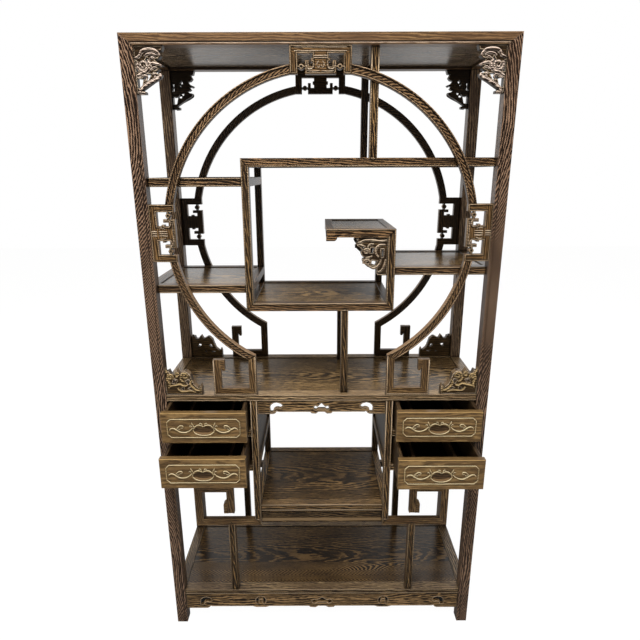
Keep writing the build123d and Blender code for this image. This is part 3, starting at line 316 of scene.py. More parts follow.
slim = ["long_shelf", "box_shelf", "upper_left_shelf", "lower_left_shelf", "right_shelf", "small_shelf"]
drawers = ["upper_left_drawer", "upper_right_drawer", "lower_left_drawer", "lower_right_drawer"]
panel_tones = {"light": "#a18358", "middle": "#5e4a30", "dark": "#261c12", "contrast": 0.7, "lacquer": 0.2,
               "arched": True}
even_tones = {"contrast": 0.6, "middle": "#553e25", "inward_shade": 0.7}
key_tones = {"contrast": 0.6, "light": "#96744a", "middle": "#5c4429", "inward_shade": 0.75}
finishes = {
    "front posts, planed and lacquered": (
        wenge("post_wood", "Z", lean=-0.15, sweep=100.0, light="#8c705a", middle="#3b2b21", dark="#1a110c",
              contrast=1.3),
        ["front_right_post", "front_left_post"]),
    "back posts, of a plainer and paler wood": (
        wenge("back_post_wood", "Z", lean=0.04, light="#9a8063", middle="#5b4837", dark="#2b2019",
              contrast=0.9),
        ["back_right_post", "back_left_post"]),
    "uprights": (
        wenge("upright_wood", "Z", lean=0.1, light="#94744b", middle="#403020", inward_shade=0.7),
        ["box_left_uprights", "box_right_uprights", "top_dividers", "middle_uprights", "inner_uprights",
         "fret_posts"]),
    "top frame": (
        wenge("top_frame_wood", "X", SIDES_OF_TOP, middle="#694f37", lean=0.02, contrast=0.4, inward_shade=0.6),
        ["top_frame"]),
    "middle shelf frame": (
        wenge("middle_frame_wood", "X", SIDES_OF_WIDE_SHELF, light="#bfa27a", middle="#8a7050", contrast=0.7),
        ["middle_shelf_frame"]),
    "base shelf frame": (
        wenge("base_frame_wood", "X", SIDES_OF_WIDE_SHELF, light="#9a8260", middle="#5a4733", contrast=0.9),
        ["base_shelf_frame"]),
    "slim shelf frames": (
        wenge("slim_shelf_frame_wood", "X", ENDS_OF_SLIM_SHELF, light="#8c6c4a", middle="#3c2c1d",
              contrast=1.1),
        [f"{shelf}_frame" for shelf in slim]),
    "lower shelf frame and case rails": (
        wenge("case_rail_wood", "X", ENDS_OF_CASE), ["lower_shelf_frame", "drawer_case_rails"]),
    "shelf panels, flat-sawn boards rubbed to a higher gloss": (
        wenge("shelf_panel_wood", "X", **panel_tones),
        ["middle_shelf_panel"] + [f"{shelf}_panel" for shelf in slim]),
    # the lower and base panels are painted darker than the shelf panels, as the shade of the shelves over
    # them
    "lower shelf panel": (
        wenge("lower_panel_wood", "X", light="#866943", middle="#3f301e", dark="#1a130a", contrast=0.6,
              lacquer=0.22, arched=True),
        ["lower_shelf_panel"]),
    "base panel, a flat-sawn board with a herringbone figure near the front": (
        wenge("base_panel_wood", "X", light="#80643f", middle="#3a2b1a", dark="#171009", contrast=0.75,
              lacquer=0.2, arched=True, chevron=True),
        ["base_shelf_panel"]),
    "top panel": (
        wenge("top_panel_wood", "X", lacquer=0.24, light="#9f8d75", middle="#766859", contrast=0.5,
              arched=True),
        ["top_panel"]),
    "ring arcs, sawn to the curve": (
        wenge("ring_wood", "RING", lean=0.35, light="#896b4b", middle="#3b2a1b", contrast=1.2, inward_shade=0.7),
        ["ring_front_arcs", "ring_back_arcs"]),
    "ring feet": (wenge("ring_foot_wood", "X", UPRIGHTS_OF_FEET, **even_tones), ["ring_feet"]),
    "frets": (wenge("fret_wood", "X", UPRIGHTS_OF_FRETS, **even_tones), ["lower_frets"]),
    "top key brackets": (wenge("top_key_wood", "X", UPRIGHTS_OF_TOP_KEYS, **key_tones), ["top_key_brackets"]),
    "side key brackets": (
        wenge("side_key_wood", "Z", LEVELS_OF_SIDE_KEYS, **key_tones), ["side_key_brackets"]),
    # the grounds of the brackets are painted darker than their carved ridges, as painted shade in the sunk
    # ground; the upper ones are darker still, with painted shade on their inward faces, for the shade under
    # the top
    "ground of the upper brackets": (
        wenge("upper_bracket_wood", "X", light="#5f4a30", middle="#302315", contrast=0.6, inward_shade=0.5),
        ["upper_corner_brackets", "small_shelf_brackets"]),
    "ground of the lower brackets": (
        wenge("lower_bracket_wood", "X", light="#6d5534", middle="#382a18", contrast=0.6),
        ["lower_corner_brackets"]),
    "aprons": (
        wenge("apron_wood", "X", SIDES_OF_BASE_APRONS, arched=True, contrast=1.2),
        ["centre_aprons", "base_aprons"]),
    # the coved aprons are painted darker than the other aprons, as painted shade in the cove
    "coved aprons, painted darker as shade": (
        wenge("coved_apron_wood", "X", light="#6a553a", middle="#322619", dark="#150f09", contrast=0.8,
              lacquer=0.22),
        ["lower_shelf_aprons"]),
    "case panels": (
        wenge("case_panel_wood", "Y", BACK_OF_CASE, light="#735c3b", middle="#3f3120", contrast=0.6,
              arched=True),
        ["drawer_case_panels"]),
    "runners and battens, planed and oiled": (
        wenge("runner_wood", "Y", lacquer=0.45, middle="#4a3826"), ["drawer_runners", "panel_battens"]),
    "drawer fronts, carved in relief": (
        wenge("drawer_front_wood", "X", light="#a98a58", middle="#705736", dark="#332516", contrast=0.42,
              arched=True),
        [f"{drawer}_front" for drawer in drawers]),
    "drawer sides, thinly lacquered": (
        wenge("drawer_side_wood", "Y", BACK_OF_DRAWER, light="#6c563c", middle="#3f3021", contrast=0.6,
              lacquer=0.4),
        [f"{drawer}_box" for drawer in drawers]),
    "drawer bottoms, stained dark and left matt": (
        wenge("drawer_bottom_wood", "X", light="#1c1612", middle="#120e0b", dark="#080605", contrast=0.6,
              lacquer=0.6),
        [f"{drawer}_bottom" for drawer in drawers]),
}
for material, names in finishes.values():
    for name in names:
        nodes[name].material_slots[0].material = material

# dark strips of painted shade, for the shade in quirks and scribed lines
quirk_shade_wood = wenge("quirk_shade_wood", "X", light="#2a1d12", middle="#150e08", dark="#080503", contrast=0.4,
                   lacquer=0.6)
# carved ridges and beads, lighter than the ground: the ridges partly where the wood is bared and partly as a
# painted highlight, the beads as a painted highlight
# the two shares below paint shade, on faces that turn inwards and on faces that turn downwards
rubbed = {"inward_shade": 0.75, "underside_shade": 0.85}
carved_wood = wenge("carved_ridge_wood", "X", light="#cbb79d", middle="#8b745c", dark="#43332a", **rubbed)
upper_carved_wood = wenge("upper_ridge_wood", "X", light="#d8c4b4", middle="#826d5d", dark="#3a2c26",
                          contrast=1.4, **rubbed)
lower_carved_wood = wenge("lower_ridge_wood", "X", light="#c2a676", middle="#7d6340", dark="#35271a",
                          contrast=1.3, **rubbed)
ring_bead_highlight_wood = wenge("ring_bead_highlight_wood", "X", light="#a58a6c", middle="#735a40", dark="#37281b", contrast=0.9,
                       inward_shade=0.85, underside_shade=0.85)
top_bead_highlight_wood = wenge("top_bead_highlight_wood", "X", light="#b09a84", middle="#8f7660", dark="#5a4636", contrast=0.6)
bead_highlight_wood = wenge("bead_highlight_wood", "X", light="#bda587", middle="#8b7253", dark="#463421", contrast=0.6,
                  inward_shade=0.85, underside_shade=0.85)
drawer_carved_wood = wenge("drawer_ridge_wood", "X", light="#d6c6a0", middle="#a78e62", dark="#655033",
                           contrast=0.5, underside_shade=0.75)
# the floor of a finger pull, painted darker as the shade in the hollow
pull_shade_wood = wenge("pull_hollow_shade_wood", "X", light="#755b3c", middle="#483622", dark="#1d140c", contrast=0.5)


# ---------------------------------------------------------------- carved relief
def round_line(name, radius, resolution):
    """Curve in space with a round section."""
    curve = bpy.data.curves.new(name, "CURVE")
    curve.dimensions = "3D"
    curve.bevel_depth = radius * MM
    curve.bevel_resolution = resolution
    return curve


def closed_line(curve, points):
    """Adds a closed run of straight lines through some points of the frame."""
    spline = curve.splines.new("POLY")
    spline.points.add(len(points) - 1)
    spline.use_cyclic_u = True
    for knot, point in zip(spline.points, points):
        knot.co = (*point, 1.0)


def strokes_piece(name, strokes, body, material, place):
    """Carved strokes that stand half proud of a face, as rounded ridges.

    A stroke is a list of points (u, w, radius) in millimetres on the face. place takes u and w to a point
    of the frame."""
    curve = round_line(name, 1.0, 2)
    curve.resolution_u = 5
    curve.use_fill_caps = True
    for points in strokes:
        spline = curve.splines.new("BEZIER")
        spline.bezier_points.add(len(points) - 1)
        for knot, (u, w, radius) in zip(spline.bezier_points, points):
            knot.co = place(u, w)
            knot.radius = radius
            knot.handle_left_type = knot.handle_right_type = "AUTO"
    return finish_curve(name, curve, body, material)


def finish_curve(name, curve, body, material):
    """Turns a curve into a mesh piece that rides on a body."""
    source = bpy.data.objects.new(name + "_path", curve)
    bpy.context.scene.collection.objects.link(source)
    bpy.context.view_layer.update()
    mesh = bpy.data.meshes.new_from_object(source.evaluated_get(bpy.context.evaluated_depsgraph_get()))
    bpy.data.objects.remove(source)
    mesh.name = name
    return finish_mesh(name, mesh, body, material)


def finish_mesh(name, mesh, body, material):
    """Makes a smooth piece of a mesh."""
    for polygon in mesh.polygons:
        polygon.use_smooth = True
    mesh.materials.clear()
    mesh.materials.append(material)
    piece = bpy.data.objects.new(name, mesh)
    bpy.context.scene.collection.objects.link(piece)
    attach(piece, body)
    return piece


# corners are one and the same to so many digits of a metre, and a face lies at a depth to within so much
SAME_POINT_DIGITS = 5
SAME_PLANE = 2e-5
# a bead is at most this wide, in millimetres
BEAD_WIDTH = 4.6


def face_loops(node, face_y):
    """Closed outlines, in X and Z, of the flat faces of a node that lie at face_y, each with the wood on
    its left."""
    mesh = nodes[node].data
    spots = {}
    ids = []
    for vertex in mesh.vertices:
        key = tuple(round(c, SAME_POINT_DIGITS) for c in vertex.co)
        ids.append(spots.setdefault(key, len(spots)))
    where = {index: key for key, index in spots.items()}
    sides = {}
    for polygon in mesh.polygons:
        if abs(polygon.center.y - face_y) > SAME_PLANE or abs(polygon.normal.y) < 0.99:
            continue
        ring = [ids[v] for v in polygon.vertices]
        doubled_area = sum(where[a][0] * where[b][2] - where[b][0] * where[a][2]
                           for a, b in zip(ring, ring[1:] + ring[:1]))
        if doubled_area < 0:
            ring.reverse()
        for a, b in zip(ring, ring[1:] + ring[:1]):
            sides[(a, b)] = True
    # a side that two faces share lies inside the outline
    border = {a: b for a, b in sides if (b, a) not in sides}
    loops = []
    while border:
        start, step = border.popitem()
        loop = [start]
        while step != start and step in border:
            loop.append(step)
            step = border.pop(step)
        if step == start:
            loops.append([(where[i][0] / MM, where[i][2] / MM) for i in loop])
    return loops


def inset_loop(loop, inset):
    """The outline moved into the wood by inset, with points closer than a millimetre left out."""
    kept = [loop[0]]
    for point in loop[1:]:
        if math.dist(point, kept[-1]) > 1.0:
            kept.append(point)
    moved = []
    for (x0, z0), (x1, z1), (x2, z2) in zip(kept[-1:] + kept[:-1], kept, kept[1:] + kept[:1]):
        before = Vector((x1 - x0, z1 - z0)).normalized()
        after = Vector((x2 - x1, z2 - z1)).normalized()
        normal = Vector((-before.y - after.y, before.x + after.x))
        if normal.length < 0.3:
            normal = Vector((-after.y, after.x)) * 2
        reach = min(2.0, 2.0 / max(normal.length_squared, 0.5)) * inset
        moved.append((x1 + normal.x * reach, z1 + normal.y * reach))
    return moved


def narrow(loop):
    """Whether an outline is that of a bead."""
    ends = list(zip(loop, loop[1:] + loop[:1]))
    around = sum(math.dist(p, q) for p, q in ends)
    area = abs(sum(p[0] * q[1] - q[0] * p[1] for p, q in ends)) / 2
    return area / (around / 2) < BEAD_WIDTH


def edge_beads(name, node, depths, material, inset, radius, keep=None):
    """A rounded bead that runs inside the outlines of a node's faces at some depths. keep picks some of
    the outlines."""
    curve = round_line(name, radius, 1)
    for d in depths:
        for loop in face_loops(node, (d + FRONT_Y) * MM):
            if len(loop) >= 3 and (keep is None or keep(loop)):
                closed_line(curve, [millimetres(x, d, z) for x, z in inset_loop(loop, inset)])
    return finish_curve(name, curve, "cabinet", material)


def spiral(u, w, size, turns, start, fat, hand=1):
    """Stroke that winds in towards (u, w) from size away, starting at an angle in degrees. hand is 1
    where the angle grows and -1 where it falls."""
    steps = max(6, int(turns * 8))
    points = []
    for i in range(steps + 1):
        share = i / steps
        angle = math.radians(start) + hand * share * turns * 2 * math.pi
        reach = size * (1 - 0.82 * share)
        points.append((u + reach * math.cos(angle), w + reach * math.sin(angle), fat * (1 - 0.35 * share)))
    return points


def tapered(*points, fat=2.0, thin=0.6):
    """Stroke through some points that swells to fat in the middle and is thin at both ends."""
    last = len(points) - 1
    stroke = []
    for i, (u, w) in enumerate(points):
        swell = math.sin(math.pi * min(1.0, 0.12 + 0.8 * i / last))
        stroke.append((u, w, thin + (fat - thin) * swell))
    return stroke


def doubled(strokes, gap=0.8):
    """The strokes, each with a thin ridge that runs beside it."""
    beside = []
    for points in strokes:
        line = []
        befores, afters = points[:1] + points[:-1], points[1:] + points[-1:]
        for (u0, w0, _), (u, w, r), (u1, w1, _) in zip(befores, points, afters):
            along = Vector((u1 - u0, w1 - w0)).normalized()
            line.append((u - along.y * (r + gap), w + along.x * (r + gap), 0.3 * r + 0.25))
        beside.append(line)
    return strokes + beside


def even(*points, radius):
    """Stroke of one thickness through some points."""
    return [(u, w, radius) for u, w in points]


def mirrored(strokes):
    """The strokes and their mirror images about u = 0."""
    return strokes + [[(-u, w, r) for u, w, r in points] for points in strokes]


# The carving of a drawer front, about the middle of its pull, in millimetres: a border with canted
# corners, the rim of the pull and the right half of the scrolls.
BORDER_RADIUS = 1.9
PULL_DROP = 6.0
PULL_HALF_WIDTH, PULL_HALF_HEIGHT, PULL_SINK = 28.8, 14.3, 5.6
border = [(-95, 35), (95, 35), (105, 25), (105, -13), (95, -23), (-95, -23), (-105, -13), (-105, 25)]
rim = even((-29, 4), (-30.5, -1), (-25, -9.5), (-13, -15.2), (0, -16.6), (13, -15.2), (25, -9.5),
           (30.5, -1), (29, 4), radius=1.7)
half_scrolls = [
    tapered((1, 11.5), (7, 15.5), (15, 16.5), (23, 12.5), (29.5, 5), fat=2.3, thin=1.4),
    tapered((3, 13), (4.5, 19), (8, 22.5), (11.5, 20.5), fat=1.9),
    tapered((26, 8), (30, 15), (33, 21), (34, 25), fat=2.2),
    tapered((33, 9), (36, 14), (41, 13), fat=1.8),
    tapered((31, 7.5), (42, -2.5), (55, -7), (68, -5.5), (78, 1), (88, 6.5), (95, 5), (99, 0.5),
            fat=2.7, thin=1.2),
    tapered((80, 3), (72, 11), (65, 15), (59.5, 12), (61, 7.5), (66, 8), fat=2.2),
    tapered((76, 6), (70, 3), (67, 6), fat=1.4),
]


def pull_bowl(name, body, centre_x, face_y, centre_z):
    """Scooped floor of an oval finger pull."""
    rings, around = 7, 36
    points, faces = [], []
    for i in range(rings + 1):
        reach = 1 - i / rings
        sink = PULL_SINK * math.sqrt(max(0.0, 1 - reach ** 2))
        for k in range(around):
            angle = 2 * math.pi * k / around
            points.append((centre_x + PULL_HALF_WIDTH * MM * reach * math.cos(angle), face_y + sink * MM,
                           centre_z + PULL_HALF_HEIGHT * MM * reach * math.sin(angle)))
    for i in range(rings):
        for k in range(around):
            n = (k + 1) % around
            faces.append((i * around + k, i * around + n, (i + 1) * around + n, (i + 1) * around + k))
    mesh = bpy.data.meshes.new(name)
    mesh.from_pydata(points, [], faces)
    mesh.validate()
    return finish_mesh(name, mesh, body, pull_shade_wood)


for drawer in drawers:
    low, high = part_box(f"{drawer}_front")
    middle_x, middle_z = (low.x + high.x) / 2, (low.z + high.z) / 2 - PULL_DROP * MM
    face_y = low.y

    def on_front(u, w):
        return Vector((middle_x + u * MM, face_y, middle_z + w * MM))

    line = round_line(f"{drawer}_border", BORDER_RADIUS, 2)
    closed_line(line, [on_front(u, w) for u, w in border])
    finish_curve(f"{drawer}_border", line, drawer, drawer_carved_wood)
    strokes_piece(f"{drawer}_scrolls", [rim] + mirrored(half_scrolls), drawer,
                  drawer_carved_wood, on_front)
    pull_bowl(f"{drawer}_pull_hollow", drawer, middle_x, face_y, middle_z)


# The carving of the corner brackets. u runs from the upright that carries one, w from the level member.
def corner_place(x_sign, from_x, from_z, z_sign, d):
    """The function that takes u and w of a bracket to the frame. The signs say which way it faces."""
    def place(u, w):
        return millimetres(x_sign * (from_x - u), d, from_z + z_sign * w)
    return place


upper_strokes = [
    spiral(21, 46, 14, 1.6, 215, 3.0, -1),
    tapered((3, 29), (13, 24), (20, 14), (33, 9), (50, 10), (58, 14), (65, 23), fat=4.0, thin=1.6),
    tapered((26, 24), (36, 19), (48, 19), (57, 23), fat=2.8, thin=1.0),
    tapered((37, 33), (45, 27), (52, 29), fat=2.4),
    tapered((35, 48), (44, 40), (54, 41), (68, 46), fat=3.0, thin=1.0),
    tapered((40, 55), (49, 50), (58, 53), fat=2.4),
    tapered((2, 71), (14, 64), (27, 60), (36, 52), (38, 42), (33, 33), fat=3.6, thin=1.4),
    tapered((4, 74), (14, 72), (24, 68), (30, 72), (24, 82), fat=2.2),
    tapered((60, 65), (63, 69), (55, 76), (41, 83), (27, 90), (14, 99), (7, 109), fat=3.8, thin=2.2),
    tapered((7, 110), (15, 109), (21, 109), fat=2.4, thin=1.6),
    tapered((44, 62), (50, 66), (48, 74), fat=2.4),
]
lower_strokes = [
    spiral(16, 57, 10, 1.4, -30, 2.6, 1),
    spiral(60, 60, 11, 1.4, 200, 2.6, -1),
    spiral(36, 66, 8, 1.2, 250, 2.3, 1),
    tapered((3, 78), (10, 66), (6, 50), (12, 36), (8, 20), fat=3.0, thin=1.4),
    tapered((12, 26), (28, 30), (44, 33), (56, 28), (66, 30), fat=3.0, thin=1.2),
    tapered((80, 47), (74, 36), (80, 24), (92, 14), (103, 12), fat=3.2, thin=1.4),
    tapered((105, 6), (105, 18), (104, 28), fat=2.6, thin=1.2),
    tapered((34, 22), (44, 12), (60, 11), (74, 12), (90, 8), fat=2.6, thin=1.2),
    tapered((44, 56), (50, 44), (58, 40), fat=2.2),
]
small_strokes = [
    spiral(60, 40, 10, 1.4, 160, 2.5, 1),
    spiral(58, 71, 10, 1.4, 20, 2.5, -1),
    tapered((4, 8), (24, 10), (46, 7), (68, 9), (84, 16), fat=3.0, thin=1.4),
    tapered((84, 21), (74, 22), (66, 30), fat=2.4),
    tapered((8, 20), (24, 22), (34, 32), (34, 46), (26, 56), fat=3.0, thin=1.2),
    tapered((20, 62), (24, 76), (38, 86), (54, 80), fat=3.0, thin=1.4),
    tapered((6, 62), (10, 78), (16, 92), (26, 98), fat=2.8, thin=1.2),
    tapered((40, 18), (52, 20), (58, 28), fat=2.2),
    tapered((44, 52), (54, 56), (64, 56), fat=2.2),
]


def at_both(d):
    """The front and the back of the cabinet, each with the depth of the face that stands d behind its
    posts."""
    return ("front", d), ("back", DEPTH - d)


SIDES = (("left", -1), ("right", 1))
for place_name, d in at_both(BRACKET_FACE):
    for side_name, sign in SIDES:
        strokes_piece(f"{place_name}_{side_name}_upper_bracket_carving", doubled(upper_strokes), "cabinet",
                      upper_carved_wood, corner_place(sign, INNER, TOP_LOW, -1, d))
        strokes_piece(f"{place_name}_{side_name}_lower_bracket_carving", doubled(lower_strokes), "cabinet",
                      lower_carved_wood, corner_place(sign, INNER, MIDDLE_TOP, 1, d))
for place_name, d in at_both(SMALL_BRACKET_FACE):
    strokes_piece(f"{place_name}_small_bracket_carving", doubled(small_strokes), "cabinet",
                  carved_wood, corner_place(1, BOX_RIGHT_IN, SMALL_LOW, -1, d))

# how far the key brackets reach from their member to the ring, and how far their broad body reaches back
TOP_KEY_REACH = 66.6
SIDE_KEY_REACH = 68.6
KEY_BODY_DEPTH = 17.0


def key_strokes(reach, top):
    """Carving of a key bracket: level bands across its middle and a curl under each ear. u runs along
    the member that carries it, w away from it."""
    body = reach - KEY_BODY_DEPTH
    strokes = []
    if top:
        for w in (25.0, 30.0):
            strokes.append(tapered((-19, w), (0, w), (19, w), fat=1.6, thin=1.0))
        for w in (6.0, 14.0):
            strokes.append(tapered((-66, w), (0, w), (66, w), fat=1.2, thin=0.8))
    else:
        for u in (-6.0, 0.0, 6.0):
            strokes.append(tapered((u, 3), (u, 10), (u, 18), fat=1.7, thin=1.1))
            strokes.append(tapered((u, 24), (u, 34), (u, 47), fat=1.7, thin=1.1))
    for s in (-1, 1):
        strokes.append(tapered((s * 37, body - 12), (s * 35, body + 1), (s * 28, body + 6),
                               (s * 19, body + 2), (s * 17, body - 7), fat=1.8, thin=1.0))
        strokes.append(tapered((s * 33, body + 10), (s * 20, body + 11), (s * 2, body + 10), fat=1.5,
                               thin=0.7))
        if top:
            strokes.append(tapered((s * 5, 37), (s * 9, body - 6), (s * 5, body + 2), (s * 2, body - 4),
                                   fat=1.5, thin=0.8))
        else:
            strokes.append(tapered((s * 14, 25), (s * 15, 31), (s * 12, body - 10), fat=1.4, thin=0.8))
    return strokes


for place_name, d in at_both(RING_FACE):
    strokes_piece(f"{place_name}_top_key_carving", key_strokes(TOP_KEY_REACH, True), "cabinet",
                  carved_wood, lambda u, w, d=d: millimetres(u, d, TOP_LOW - w))
    for side_name, sign in SIDES:
        strokes_piece(f"{place_name}_{side_name}_key_carving", key_strokes(SIDE_KEY_REACH, False), "cabinet",
                      carved_wood,
                      lambda u, w, d=d, sign=sign: millimetres(sign * (INNER - w), d, RING_Z + u))

# the beads round the fretted boards: depth, nodes, wood, distance from the outline and radius
FRETTED = (
    (RING_FACE, ["top_key_brackets", "side_key_brackets"], bead_highlight_wood, 2.2, 1.6),
    (APRON_FACE, ["centre_aprons", "base_aprons"], bead_highlight_wood, 2.0, 1.2),
    (BRACKET_FACE, ["upper_corner_brackets", "lower_corner_brackets"], carved_wood, 2.0, 1.4),
    (SMALL_BRACKET_FACE, ["small_shelf_brackets"], carved_wood, 2.0, 1.4),
)
for d, names, wood, inset, radius in FRETTED:
    for name in names:
        edge_beads(f"{name}_beads", name, (d, DEPTH - d), wood, inset, radius)
        # a key bracket also has a quirk inside its bead, a dark strip of painted shade
        if d == RING_FACE:
            edge_beads(f"{name}_quirks", name, (d, DEPTH - d), quirk_shade_wood, 4.9, 0.9)

# The scribed line that edges posts and top rails, a dark strip of painted shade, and the bead under it,
# lighter as a painted highlight. The line lies this share of a member's width from its inner edge.
SCRIBED = 0.255
SCRIBED_FOOT = 4.0
RAIL_BEAD_SUNK = 1.0
scribed_x, scribed_z = INNER + SCRIBED * POST, TOP_LOW + SCRIBED * TOP_RAIL
rail_bead_x, rail_bead_z = INNER + POST * SCRIBED / 2, TOP_LOW + TOP_RAIL * SCRIBED / 2
for (place_name, d), (_, bead_d) in zip(at_both(0.0), at_both(RAIL_BEAD_SUNK)):
    lines = [even((s * scribed_x, SCRIBED_FOOT), (s * scribed_x, scribed_z), radius=0.9) for s in (-1, 1)]
    lines.append(even((-scribed_x, scribed_z), (scribed_x, scribed_z), radius=1.3))
    strokes_piece(f"{place_name}_scribed_lines", lines, "cabinet", quirk_shade_wood,
                  lambda u, w, d=d: millimetres(u, d, w))
    bead = even((-rail_bead_x, rail_bead_z), (rail_bead_x, rail_bead_z), radius=2.3)
    strokes_piece(f"{place_name}_top_rail_bead", [bead], "cabinet", top_bead_highlight_wood,
                  lambda u, w, d=bead_d: millimetres(u, d, w))

# the rounded tops of the beads that edge the slim members, lighter as a painted highlight, and the quirks a
# little deeper at their feet, dark strips of painted shade: depth, radius of the bead and nodes
SLIM_BEADS = (
    (RING_FACE, 1.7,
     ["ring_feet", "lower_frets", "inner_uprights", "fret_posts", "lower_shelf_frame", "drawer_case_rails"]),
    (SLIM_FACE, 1.7,
     ["box_left_uprights", "box_right_uprights", "top_dividers", "middle_uprights"]
     + [f"{shelf}_frame" for shelf in slim]),
    (WIDE_FACE, 0.95, ["middle_shelf_frame", "base_shelf_frame"]),
)
BEAD_INSET = 1.7
QUIRK_INSET, QUIRK_RADIUS, QUIRK_SUNK = 0.9, 1.2, 1.0
for d, radius, names in SLIM_BEADS:
    for name in names:
        edge_beads(f"{name}_beads", name, (d, DEPTH - d), bead_highlight_wood, BEAD_INSET, radius, narrow)
        # the feet of the ring have no sunk ground, so no quirks
        if name != "ring_feet":
            edge_beads(f"{name}_quirks", name, (d + QUIRK_SUNK, DEPTH - d - QUIRK_SUNK),
                       quirk_shade_wood, QUIRK_INSET, QUIRK_RADIUS)
for (place_name, d), (_, quirk_d) in zip(at_both(RING_FACE), at_both(RING_FACE + QUIRK_SUNK)):
    name = f"ring_{place_name}_arcs"
    edge_beads(f"{name}_beads", name, (d,), ring_bead_highlight_wood, BEAD_INSET, 1.7, narrow)
    edge_beads(f"{name}_quirks", name, (quirk_d,), quirk_shade_wood, QUIRK_INSET, QUIRK_RADIUS)


# ---------------------------------------------------------------- floor, light and camera
WHITE = "#ffffff"
PAPER = "#e6e4e0"
# share of its own light with which the floor meets the camera, and how bright that light is
FLOOR_GLOW = 0.92
FLOOR_WHITE = 1.06
# brightness of the room that lights the cabinet from all round
ROOM_LIGHT = 0.16
# how far up and round the floor is tested for cover, in metres, and the open shares from which the cabinet
# hides it a little and in full
COVER_REACH = 0.3
COVER_NONE, COVER_FULL = 0.92, 0.76
# the shadow painted on the floor begins this far behind the faces of the posts and is dark after the second
# length, in millimetres; sideways it fades out over the last
SHADE_BEGINS, SHADE_GROWS, SHADE_BESIDE = 67.0, 9.0, 30.0


def stage_material(name):
    """Matt pale paper that reads as white from the camera, takes a faint shadow, and has a painted shadow
    under the base shelf.
    """
    material = bpy.data.materials.new(name)
    material.use_nodes = True
    tree = material.node_tree
    tree.nodes.clear()
    matt = add(tree, "BsdfDiffuse", linear(PAPER), 1.0)
    # a shadow painted on the floor under the base shelf, where the cabinet covers it: there the floor's own
    # light dims to dark
    sideways, away, _ = add(tree, "SeparateXYZ", add(tree, "NewGeometry").outputs["Position"]).outputs
    covered = add(tree, "AmbientOcclusion", None, COVER_REACH, samples=8).outputs["AO"]
    covered = add(tree, "MapRange", covered, COVER_NONE, COVER_FULL, 0.0, 0.99).outputs[0]
    from_middle = math_of(tree, "ABSOLUTE", math_of(tree, "SUBTRACT", away, (FRONT_Y + DEPTH / 2) * MM))
    edge = DEPTH / 2 - SHADE_BEGINS
    behind = add(tree, "MapRange", from_middle, edge * MM, (edge - SHADE_GROWS) * MM, 0.0, 1.0).outputs[0]
    from_centre = math_of(tree, "ABSOLUTE", sideways)
    between = add(tree, "MapRange", from_centre, (INNER + SHADE_BESIDE) * MM, INNER * MM, 0.0, 1.0).outputs[0]
    painted_shadow = math_of(tree, "MULTIPLY", covered, math_of(tree, "MULTIPLY", behind, between))
    bright = math_of(tree, "MULTIPLY_ADD", painted_shadow, -FLOOR_WHITE, FLOOR_WHITE)
    white = add(tree, "Emission", linear(WHITE), bright)
    path = add(tree, "LightPath")
    own_light = math_of(tree, "MAXIMUM", FLOOR_GLOW, painted_shadow)
    share = math_of(tree, "MULTIPLY", path.outputs["Is Camera Ray"], own_light)
    to_camera = add(tree, "MixShader", share, matt.outputs[0], white.outputs[0])
    # the lacquer mirrors a floor that is dim near the cabinet and pale far behind it
    mirror_bright = add(tree, "MapRange", away, -0.5, 6.0, FRONT_ROOM, BACK_ROOM).outputs[0]
    to_lacquer = add(tree, "Emission", linear(WHITE), mirror_bright)
    mix = add(tree, "MixShader", path.outputs["Is Glossy Ray"], to_camera.outputs[0], to_lacquer.outputs[0])
    output = add(tree, "OutputMaterial")
    tree.links.new(mix.outputs[0], output.inputs[0])
    return material


FLOOR_HALF = 9
corners = [(-1, -1), (1, -1), (1, 1), (-1, 1)]
floor_mesh = bpy.data.meshes.new("floor")
floor_mesh.from_pydata([(x * FLOOR_HALF, y * FLOOR_HALF, 0) for x, y in corners], [], [(0, 1, 2, 3)])
floor_mesh.materials.append(stage_material("pale_paper"))
floor = bpy.data.objects.new("floor", floor_mesh)
bpy.context.scene.collection.objects.link(floor)

world = bpy.data.worlds.new("pale room")
bpy.context.scene.world = world
world.use_nodes = True
tree = world.node_tree
tree.nodes.clear()
path = add(tree, "LightPath")
seen = math_of(tree, "MAXIMUM", path.outputs["Is Camera Ray"], path.outputs["Is Transmission Ray"])
glossy = path.outputs["Is Glossy Ray"]
sideways, away, height = add(tree, "SeparateXYZ", add(tree, "TexCoord").outputs["Generated"]).outputs
# as the lacquer mirrors it, the room behind is pale at both sides and low down, and darker in the middle
beside = math_of(tree, "ABSOLUTE", sideways)
pale = add(tree, "MapRange", beside, 0.05, 0.17, BACK_ROOM * 0.08, BACK_ROOM * 1.8).outputs[0]
low_down = add(tree, "MapRange", height, 0.12, 0.19, BACK_ROOM, 0.0).outputs[0]
pale = math_of(tree, "MAXIMUM", pale, low_down)
mirror_bright = add(tree, "MapRange", away, -0.3, 0.5, FRONT_ROOM, pale).outputs[0]
more = math_of(tree, "SUBTRACT", mirror_bright, ROOM_LIGHT)
bright = math_of(tree, "MULTIPLY_ADD", glossy, more, ROOM_LIGHT)
sky = add(tree, "Background", linear(WHITE), math_of(tree, "MAXIMUM", seen, bright))
output = add(tree, "OutputWorld")
tree.links.new(sky.outputs[0], output.inputs[0])


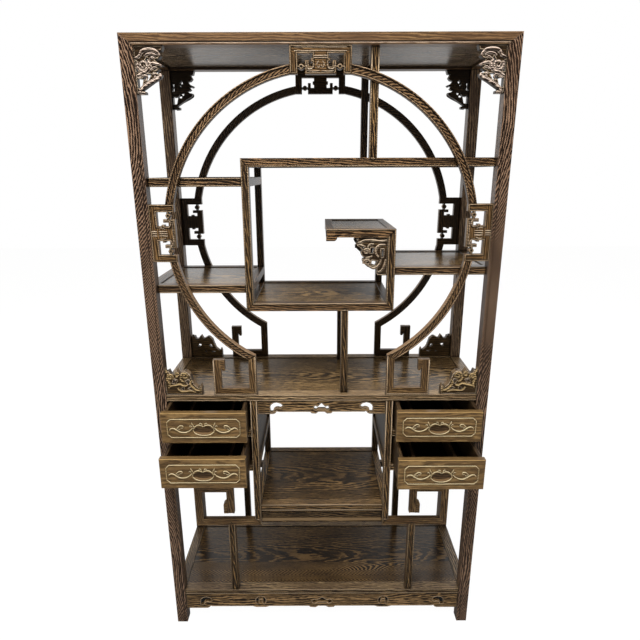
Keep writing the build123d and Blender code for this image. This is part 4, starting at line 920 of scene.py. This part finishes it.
def softbox(name, at, towards, size, watts, mirrored_too):
    """Square area lamp that faces a point. The lacquer mirrors only some of them."""
    lamp = bpy.data.lights.new(name, "AREA")
    lamp.energy = watts
    lamp.size = size
    lamp.color = (1.0, 0.985, 0.96)
    holder = bpy.data.objects.new(name, lamp)
    holder.location = at
    holder.rotation_euler = (Vector(towards) - Vector(at)).to_track_quat("-Z", "Y").to_euler()
    holder.visible_glossy = mirrored_too
    bpy.context.scene.collection.objects.link(holder)


softbox("overhead_softbox", (-0.3, -1.7, 3.9), (0.0, 0.0, 0.9), 1.6, 130.0, False)
softbox("ceiling_softbox", (0.0, -0.2, 3.6), (0.0, 0.0, 0.9), 1.0, 16.0, True)
softbox("front_softbox", (-0.6, -3.4, 1.9), (0.0, 0.0, 0.8), 1.6, 36.0, False)
softbox("back_left_softbox", (-2.1, 3.2, 2.4), (-0.3, 0.0, 0.9), 2.2, 44.0, False)
softbox("back_right_softbox", (2.1, 3.2, 2.4), (0.3, 0.0, 0.9), 2.2, 44.0, False)

# the camera, as solved: where it stands, how it is turned, in degrees, and its focal length over its width
CAMERA_X, CAMERA_DEPTH, CAMERA_Z = -4.36, -1388.2, 1499.6
TILT, YAW, ROLL = 16.35, 0.03, -0.19
FOCAL_SHARE = 504.6 / 640
SENSOR_WIDTH = 36.0
tilt, yaw, roll = math.radians(TILT), math.radians(YAW), math.radians(ROLL)
forward = Vector((math.sin(yaw) * math.cos(tilt), math.cos(yaw) * math.cos(tilt), -math.sin(tilt)))
right = Vector((math.cos(yaw), -math.sin(yaw), 0))
up = right.cross(forward)
across = math.cos(roll) * right + math.sin(roll) * up
upward = -math.sin(roll) * right + math.cos(roll) * up
turned_so = Matrix((across, upward, -forward)).transposed().to_4x4()
lens = bpy.data.cameras.new("camera")
lens.sensor_width = SENSOR_WIDTH
lens.lens = FOCAL_SHARE * SENSOR_WIDTH
lens.clip_start = 0.05
camera = bpy.data.objects.new("camera", lens)
camera.matrix_world = Matrix.Translation(millimetres(CAMERA_X, CAMERA_DEPTH, CAMERA_Z)) @ turned_so
bpy.context.scene.collection.objects.link(camera)
bpy.context.scene.camera = camera
bpy.context.scene.view_settings.view_transform = "Standard"
